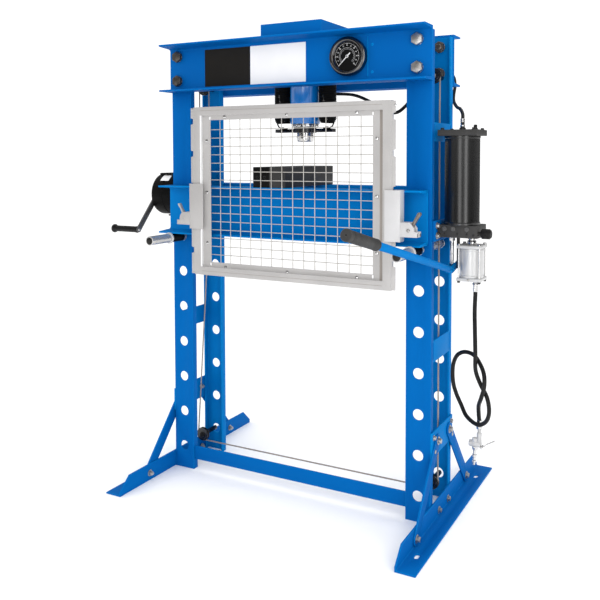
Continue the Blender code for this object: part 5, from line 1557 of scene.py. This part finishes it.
def make_pulleys():
    for level in ("lower", "upper"):
        for side in ("left", "right"):
            node = f"{level}_pulley_{side}"
            low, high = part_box(node)
            x, z = (low.x + high.x) / 2, (low.z + high.z) / 2
            start = Vector((x, low.y, z))
            reach = high.y - low.y
            wheel = [
                (0, 0.0015), (0.011, 0.0015), (0.012, 0.0005), (0.021, 0.0005), (0.022, 0.0015),
                (0.0285, 0.0015), (0.030, 0.0028), (0.030, 0.0040), (0.0222, 0.0050),
                (0.0219, 0.008), (0.0222, 0.0110), (0.030, 0.0120), (0.030, 0.0142),
                (0.0285, 0.016), (0.0135, 0.016), (0.013, 0.017), (0.010, 0.018),
                (0.010, reach - 0.001), (0.009, reach), (0, reach),
            ]
            piece(f"{node}_wheel", turned(wheel, start, Y, 56), "black_enamel", node, node)
            head = bolt(start + Y * 0.0012, FRONT, 0.017, 0.008, 1.4)
            piece(f"{node}_bolt", head, "dark_end" if level == "lower" else "zinc_bolt", node)


def make_winch():
    low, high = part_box("winch_housing")
    y, z = (low.y + high.y) / 2, (low.z + high.z) / 2
    inner = high.x
    depth = high.x - low.x
    profile = [
        (0.0122, 0.004), (0.088, 0.004), (0.092, 0.007), (0.093, 0.012), (0.093, 0.070),
        (0.0905, 0.0715), (0.0905, 0.0745), (0.093, 0.076), (0.093, depth - 0.012),
        (0.089, depth - 0.003), (0.084, depth - 0.0005), (0.030, depth - 0.0005),
        (0.028, depth - 0.0025), (0.020, depth - 0.0025), (0.019, depth), (0.0122, depth),
    ]
    start = Vector((inner, y, z))
    cover = turned(profile, start, -X, 96)
    base = block((inner - 0.006, low.y, low.z), (inner, high.y, high.z), 0.001)
    lid = block(
        (inner - depth + 0.020, y - 0.048, high.z - 0.010),
        (inner - 0.001, y + 0.048, high.z - 0.0005), 0.002,
    )
    foot = block(
        (inner - 0.052, low.y + 0.030, low.z), (inner - 0.001, low.y + 0.110, low.z + 0.006),
        0.0015,
    )
    piece("winch_cover", together(cover, base, lid, foot), "satin_black", "frame", "winch_housing")
    screws = []
    for turn in (45, 135, 225, 315):
        angle = radians(turn)
        place = Vector((inner - depth + 0.0006, y + 0.074 * cos(angle), z + 0.074 * sin(angle)))
        screws.append(hexagon(place, -X, 0.010, 0.005))
    for dy, dz in ((-0.094, -0.086), (0.094, -0.086), (-0.094, 0.086), (0.094, 0.086)):
        screws.append(bolt((inner - 0.006, y + dy, z + dz), -X, 0.013, 0.007, 1.5))
    screws.append(bolt((inner - 0.036, low.y + 0.052, low.z + 0.006), Z, 0.012, 0.007, 1.5))
    piece("winch_screws", together(*screws), "dark_end", "frame")
    bare = []
    for step in range(8):
        first = radians(140) - step * radians(4)
        second = first - radians(4)
        outline = [
            Vector((inner - 0.098, y + 0.0933 * cos(angle), z + 0.0933 * sin(angle)))
            for angle in (first, second)
        ]
        outline += [point + X * 0.046 for point in reversed(outline)]
        out = Vector((0, cos((first + second) / 2), sin((first + second) / 2)))
        bare.append(drawn(outline, out * 0.0004))
    piece("winch_label_plate", together(*bare), "pale_label", "frame")
    make_crank(start, depth)
    make_grip()


def make_crank(start, depth):
    """The drum and shaft, and the bent arm that ends at the grip's spindle."""
    arm_x = start.x - depth - 0.0003
    wall = 0.008
    grip = Vector((arm_x, start.y - 0.170, start.z - 0.153))
    hub = Vector((arm_x, start.y, start.z))
    bend = hub.lerp(grip, 0.30) + Vector((0, -0.010, 0.016))
    half = 0.0125
    arm = [
        drawn(capsule(first, last, half, Y, Z, 12), -X * wall, 0.0012)
        for first, last in ((hub, bend), (bend, grip))
    ]
    drum = turned(
        [
            (0, -0.0575), (0.050, -0.0575), (0.050, -0.0535), (0.0368, -0.0535),
            (0.0368, -0.0115), (0.050, -0.0115), (0.050, -0.0075), (0.011, -0.0075),
            (0.011, depth + 0.004), (0, depth + 0.004),
        ],
        start, -X, 56,
    )
    spindle = rod(grip - X * wall / 2, grip - X * (wall + 0.1395), 0.005, sides=24)
    piece("crank_arm", together(*arm, drum, spindle), "crank_steel", "crank", "winch_crank")
    fixings = together(
        bolt(hub - X * wall, -X, 0.019, 0.009, 1.7, 0.004),
        rod(grip - X * (wall - 0.0005), grip - X * (wall + 0.0003), 0.0125, sides=32),
        turned([(0, 0.003), (0.0055, 0.0025), (0.0075, 0), (0, 0)], grip, X, 24),
    )
    piece("crank_fixings", fixings, "polished_steel", "crank")


def make_grip():
    low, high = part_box("crank_grip")
    y, z = (low.y + high.y) / 2, (low.z + high.z) / 2
    start = Vector((high.x, y, z))
    length = high.x - low.x
    profile = [(0.0058, 0), (0.0135, 0), (0.0150, 0.0015), (0.0150, 0.0060), (0.0132, 0.0085)]
    ribs = 13
    base, top = 0.012, length - 0.022
    pitch = (top - base) / ribs
    for rib in range(ribs):
        foot = base + rib * pitch
        profile += [
            (0.0123, foot), (0.0134, foot + pitch * 0.25), (0.0134, foot + pitch * 0.65),
            (0.0123, foot + pitch * 0.9),
        ]
    profile += [
        (0.0135, length - 0.019), (0.0185, length - 0.012), (0.0190, length - 0.007),
        (0.0175, length - 0.002), (0.0130, length), (0.0058, length),
    ]
    painted_reflection_band = turned(profile, start, -X, 48)
    piece("crank_grip_sleeve", painted_reflection_band, "moulded_plastic", "crank_grip", "crank_grip")


# Pump


def make_pump():
    low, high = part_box("pump_tank")
    x, y = (low.x + high.x) / 2, (low.y + high.y) / 2
    top = high.z - 0.014
    plate_low = top - 0.022
    base = Vector((x, y, low.z))
    height = plate_low - low.z
    tank = turned(
        [
            (0, 0), (0.0655, 0), (0.0665, 0.0012), (0.0665, 0.0075), (0.0645, 0.010),
            (0.0640, 0.012), (0.0640, height - 0.0100), (0.0655, height - 0.008),
            (0.0655, height - 0.001), (0, height),
        ],
        base, Z, 96,
    )
    piece("tank_shell", tank, "black_enamel", "frame", "pump_tank")
    plate = block((low.x, low.y, plate_low - 0.0002), (high.x, high.y, top), 0.0025, 3)
    piece("tank_top_plate", plate, "grey_casting", "frame")
    corners = []
    for dx in (-0.058, 0.058):
        for dy in (-0.058, 0.058):
            corners.append(bolt((x + dx, y + dy, top), Z, 0.011, 0.006, 1.5))
    middle = Vector((x, y, top))
    corners.append(hexagon(middle - Z * 0.0005, Z, 0.021, 0.009))
    corners.append(thread(middle + Z * 0.008, Z, 0.0085, 0.0058))
    breather = at(0.724, -0.035, 0)
    breather.z = top
    corners.append(hexagon(breather, Z, 0.016, 0.006))
    cap = [(0, 0.019), (0.0050, 0.0185), (0.0065, 0.016), (0.0065, 0.004), (0, 0.004)]
    corners.append(turned(cap, breather, Z, 24))
    piece("tank_fittings", together(*corners), "dark_end", "frame")
    make_valve_block()
    make_air_motor()
    make_knob()
    make_lever()


def make_valve_block():
    finished("valve_block", "grey_casting", 0.0018)
    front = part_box("valve_block")[0].y
    plug = [
        (0, 0.0010), (0.0028, 0.0010), (0.0032, 0.0030), (0.0072, 0.0030), (0.0082, 0.0020),
        (0.0082, -0.002), (0, -0.002),
    ]
    hole = [
        (0, 0.0002), (0.0042, 0.0002), (0.0050, 0.0008), (0.0058, 0.0), (0.0058, -0.001),
        (0, -0.001),
    ]
    plugs = [
        turned(plug, (AXIS.x + x, front, 1.111 - 0.004), FRONT, 32) for x in (0.628, 0.661, 0.711)
    ]
    holes = [
        turned(hole, (AXIS.x + x, front, z), FRONT, 24)
        for x, z in ((0.628, 1.090), (0.676, 1.090), (0.711, 1.090), (0.735, 1.087))
    ]
    piece("valve_block_plugs", together(*plugs), "crank_steel", "frame")
    piece("valve_block_ports", together(*holes), "dark_end", "frame")


def make_air_motor():
    """The air cylinder: two square flanges drawn together by four tie rods around a bright barrel."""
    low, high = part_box("air_motor")
    x, y = (low.x + high.x) / 2, (low.y + high.y) / 2
    bottom = low.z + 0.012
    top = high.z - 0.028
    half = 0.0455
    flange = 0.012
    shapes = [
        block((x - half, y - half, bottom), (x + half, y + half, bottom + flange), 0.003, 3),
        block((x - half, y - half, top - flange), (x + half, y + half, top), 0.003, 3),
        rod((x + 0.014, y, low.z), (x + 0.014, y, bottom + 0.001), 0.0088, sides=32, edge=0.001),
    ]
    piece("motor_flanges", together(*shapes), "motor_aluminium", "frame", "air_motor")
    barrel = turned(
        [
            (0, bottom + 0.010), (0.0415, bottom + 0.010), (0.0430, bottom + 0.014),
            (0.0430, bottom + 0.020), (0.0418, bottom + 0.0215), (0.0418, top - 0.0215),
            (0.0430, top - 0.020), (0.0430, top - 0.014), (0.0415, top - 0.010), (0, top - 0.010),
        ],
        Vector((x, y, 0)), Z, 96,
    )
    piece("motor_barrel", barrel, "polished_barrel", "frame")
    rods, ends = [], []
    reach = half - 0.0075
    for dx in (-reach, reach):
        for dy in (-reach, reach):
            place = Vector((x + dx, y + dy, 0))
            foot, head = place + Z * (bottom + 0.006), place + Z * (top - 0.006)
            rods.append(rod(foot, head, 0.0032, sides=20))
            ends.append(bolt(place + Z * bottom, -Z, 0.0098, 0.0055, 1.35))
            rods.append(hexagon(place + Z * (top - 0.0005), Z, 0.0110, 0.0060))
    piece("motor_tie_rods", together(*rods), "polished_steel", "frame")
    piece("motor_rod_ends", together(*ends), "dark_end", "frame")
    neck = together(
        rod((x, y, top - 0.001), (x, y, high.z), 0.0110, sides=40, edge=0.001),
        hexagon((x, y, top + 0.003), Z, 0.030, 0.013),
        hexagon((x, y, high.z - 0.008), Z, 0.027, 0.0078),
    )
    piece("motor_neck", neck, "polished_steel", "frame")
    left_start = (x - half - 0.001, y - 0.012, top - 0.006)
    left_end = (x - half - 0.006, y - 0.012, top - 0.006)
    front_start = (x, y - half + 0.001, bottom + 0.006)
    front_end = (x, y - half - 0.004, bottom + 0.006)
    side = together(
        rod(left_start, left_end, 0.006, sides=24, edge=0.001),
        rod(front_start, front_end, 0.0045, sides=24, edge=0.001),
    )
    piece("motor_port_plugs", side, "zinc_bolt", "frame")


def make_knob():
    low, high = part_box("release_knob")
    y, z = (low.y + high.y) / 2, (low.z + high.z) / 2
    start = Vector((low.x, y, z))
    length = high.x - low.x
    neck = turned(
        [(0, 0), (0.0085, 0), (0.0085, 0.004), (0.0070, 0.005), (0.0070, 0.0105), (0, 0.0105)],
        start, X, 32,
    )
    piece("knob_neck", neck, "dark_end", "release_knob")
    shapes = [
        turned(
            [
                (0, 0.0100), (0.0120, 0.0100), (0.0155, 0.0125), (0.0166, 0.0165),
                (0.0166, length - 0.006), (0.0150, length - 0.0015), (0.0125, length - 0.0002),
                (0.0105, length - 0.0015), (0, length - 0.0015),
            ],
            start, X, 64,
        )
    ]
    ribs = 22
    for rib in range(ribs):
        angle = tau * rib / ribs
        out = Y * cos(angle) + Z * sin(angle)
        first = start + X * 0.0145 + out * 0.0166
        last = start + X * (length - 0.0055) + out * 0.0166
        shapes.append(rod(first, last, 0.0019, sides=10, edge=0.0006))
    piece("knob_grip", together(*shapes), "moulded_plastic", "release_knob", "release_knob")


def make_lever():
    """The hand lever: its fork and tube in enamel, with a rubber grip on the end."""
    slope = radians(13.2)
    run = Vector((0, -cos(slope), sin(slope)))
    plunger_low, plunger_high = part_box("hand_pump_plunger")
    x = (plunger_low.x + plunger_high.x) / 2
    pivot = at(0, -0.015, 0.967)
    pivot.x = x
    below = pivot - Z * 0.026
    start = below + run * 0.049
    tip = below + run * 0.99
    tube_radius = 0.0125
    outer = (0.015 + 0.0006 + 0.008) / 2
    lap = start + run * 0.012
    shapes = [rod(start, tip - run * 0.19, tube_radius, sides=48, edge=0.001)]
    for side in (-1, 1):
        x_low = x - outer if side < 0 else x + outer - 0.004
        ends = (Vector((x_low, place.y, place.z)) for place in (pivot, lap))
        outline = capsule(*ends, 0.014, Y, Z, 14)
        shapes.append(drawn(outline, X * 0.004, 0.0007))
    low, high = start - run * 0.001, start + run * 0.004
    shapes.append(rod(low, high, tube_radius + 0.0018, sides=40, edge=0.001))
    # The lever tube takes the blue enamel painted lighter, standing in for its highlight.
    piece("lever_tube", together(*shapes), "blue_enamel_painted_lighter", "pump_lever", "pump_lever")
    pin = together(
        rod(pivot - X * (outer - 0.002), pivot + X * (outer + 0.0066), 0.004, sides=24, edge=0.0006),
        rod(
            pivot - X * (outer + 0.0015), pivot - X * (outer - 0.0005), 0.0062, sides=28,
            edge=0.0006,
        ),
    )
    piece("lever_pin", pin, "zinc_bolt", "pump_lever")
    length = 0.21
    foot = tip - run * length
    profile = [
        (0, 0), (tube_radius - 0.0005, 0), (0.0165, 0.0), (0.0180, 0.002), (0.0180, 0.010),
        (0.0172, 0.012),
    ]
    ribs = 22
    first, last = 0.016, length - 0.012
    pitch = (last - first) / ribs
    for rib in range(ribs):
        place = first + rib * pitch
        profile += [(0.0168, place), (0.0174, place + pitch * 0.3), (0.0174, place + pitch * 0.8)]
    profile += [
        (0.0180, length - 0.010), (0.0185, length - 0.006), (0.0183, length - 0.0015),
        (0.0168, length), (0.0032, length), (0.0026, length - 0.004), (0, length - 0.004),
    ]
    piece("lever_grip", turned(profile, foot, run, 56), "grip_rubber", "pump_lever")
    make_plunger(plunger_low, plunger_high, x)


def make_plunger(low, high, x):
    y = (low.y + high.y) / 2
    length = high.z - low.z
    profile = [
        (0, 0), (0.0060, 0), (0.0074, 0.0015), (0.0074, 0.020), (0.0060, 0.0215),
        (0.0060, 0.0260), (0.0074, 0.0275), (0.0074, 0.052), (0.0064, 0.053), (0.0064, 0.056),
        (0.0074, 0.057), (0.0074, length), (0, length),
    ]
    shape = turned(profile, (x, y, low.z), Z, 40)
    piece("plunger_rod", shape, "polished_steel", "plunger", "hand_pump_plunger")
    block_low = 1.075
    gland = turned(
        [(0.0079, -0.0002), (0.0125, -0.0002), (0.0125, -0.006), (0.0112, -0.0072), (0.0112, -0.014),
         (0.0100, -0.016), (0.0079, -0.016)],
        (x, y, block_low), Z, 6,
    )
    piece("plunger_gland", gland, "polished_steel", "frame")


def make_floor():
    shape = bmesh.new()
    bmesh.ops.create_grid(shape, x_segments=1, y_segments=1, size=30)
    mesh = bpy.data.meshes.new("studio_floor")
    shape.to_mesh(mesh)
    shape.free()
    material = bpy.data.materials.new("pale_floor")
    material.use_nodes = True
    tree = material.node_tree
    shader = tree.nodes["Principled BSDF"]
    place = add_node(tree, "ShaderNodeTexCoord").outputs["Object"]
    drift = add_node(tree, "ShaderNodeTexNoise", {"Vector": place, "Scale": 0.6}).outputs[0]
    tone = blend_colours(tree, drift, (0.985, 0.985, 0.985, 1), (0.995, 0.995, 0.995, 1))
    tree.links.new(tone, shader.inputs["Base Color"])
    shader.inputs["Roughness"].default_value = 0.9
    shader.inputs["Specular IOR Level"].default_value = 0.0
    mesh.materials.append(material)
    floor = bpy.data.objects.new("studio_floor", mesh)
    bpy.context.scene.collection.objects.link(floor)


make_hoses()
make_frame()
make_bolts()
make_cylinder()
make_ram()
make_springs()
make_press_bars()
make_bed_pins()
make_guard()
make_latches()
make_gauge()
make_labels()
make_rope()
make_pulleys()
make_winch()
make_pump()
make_floor()
light_studio()
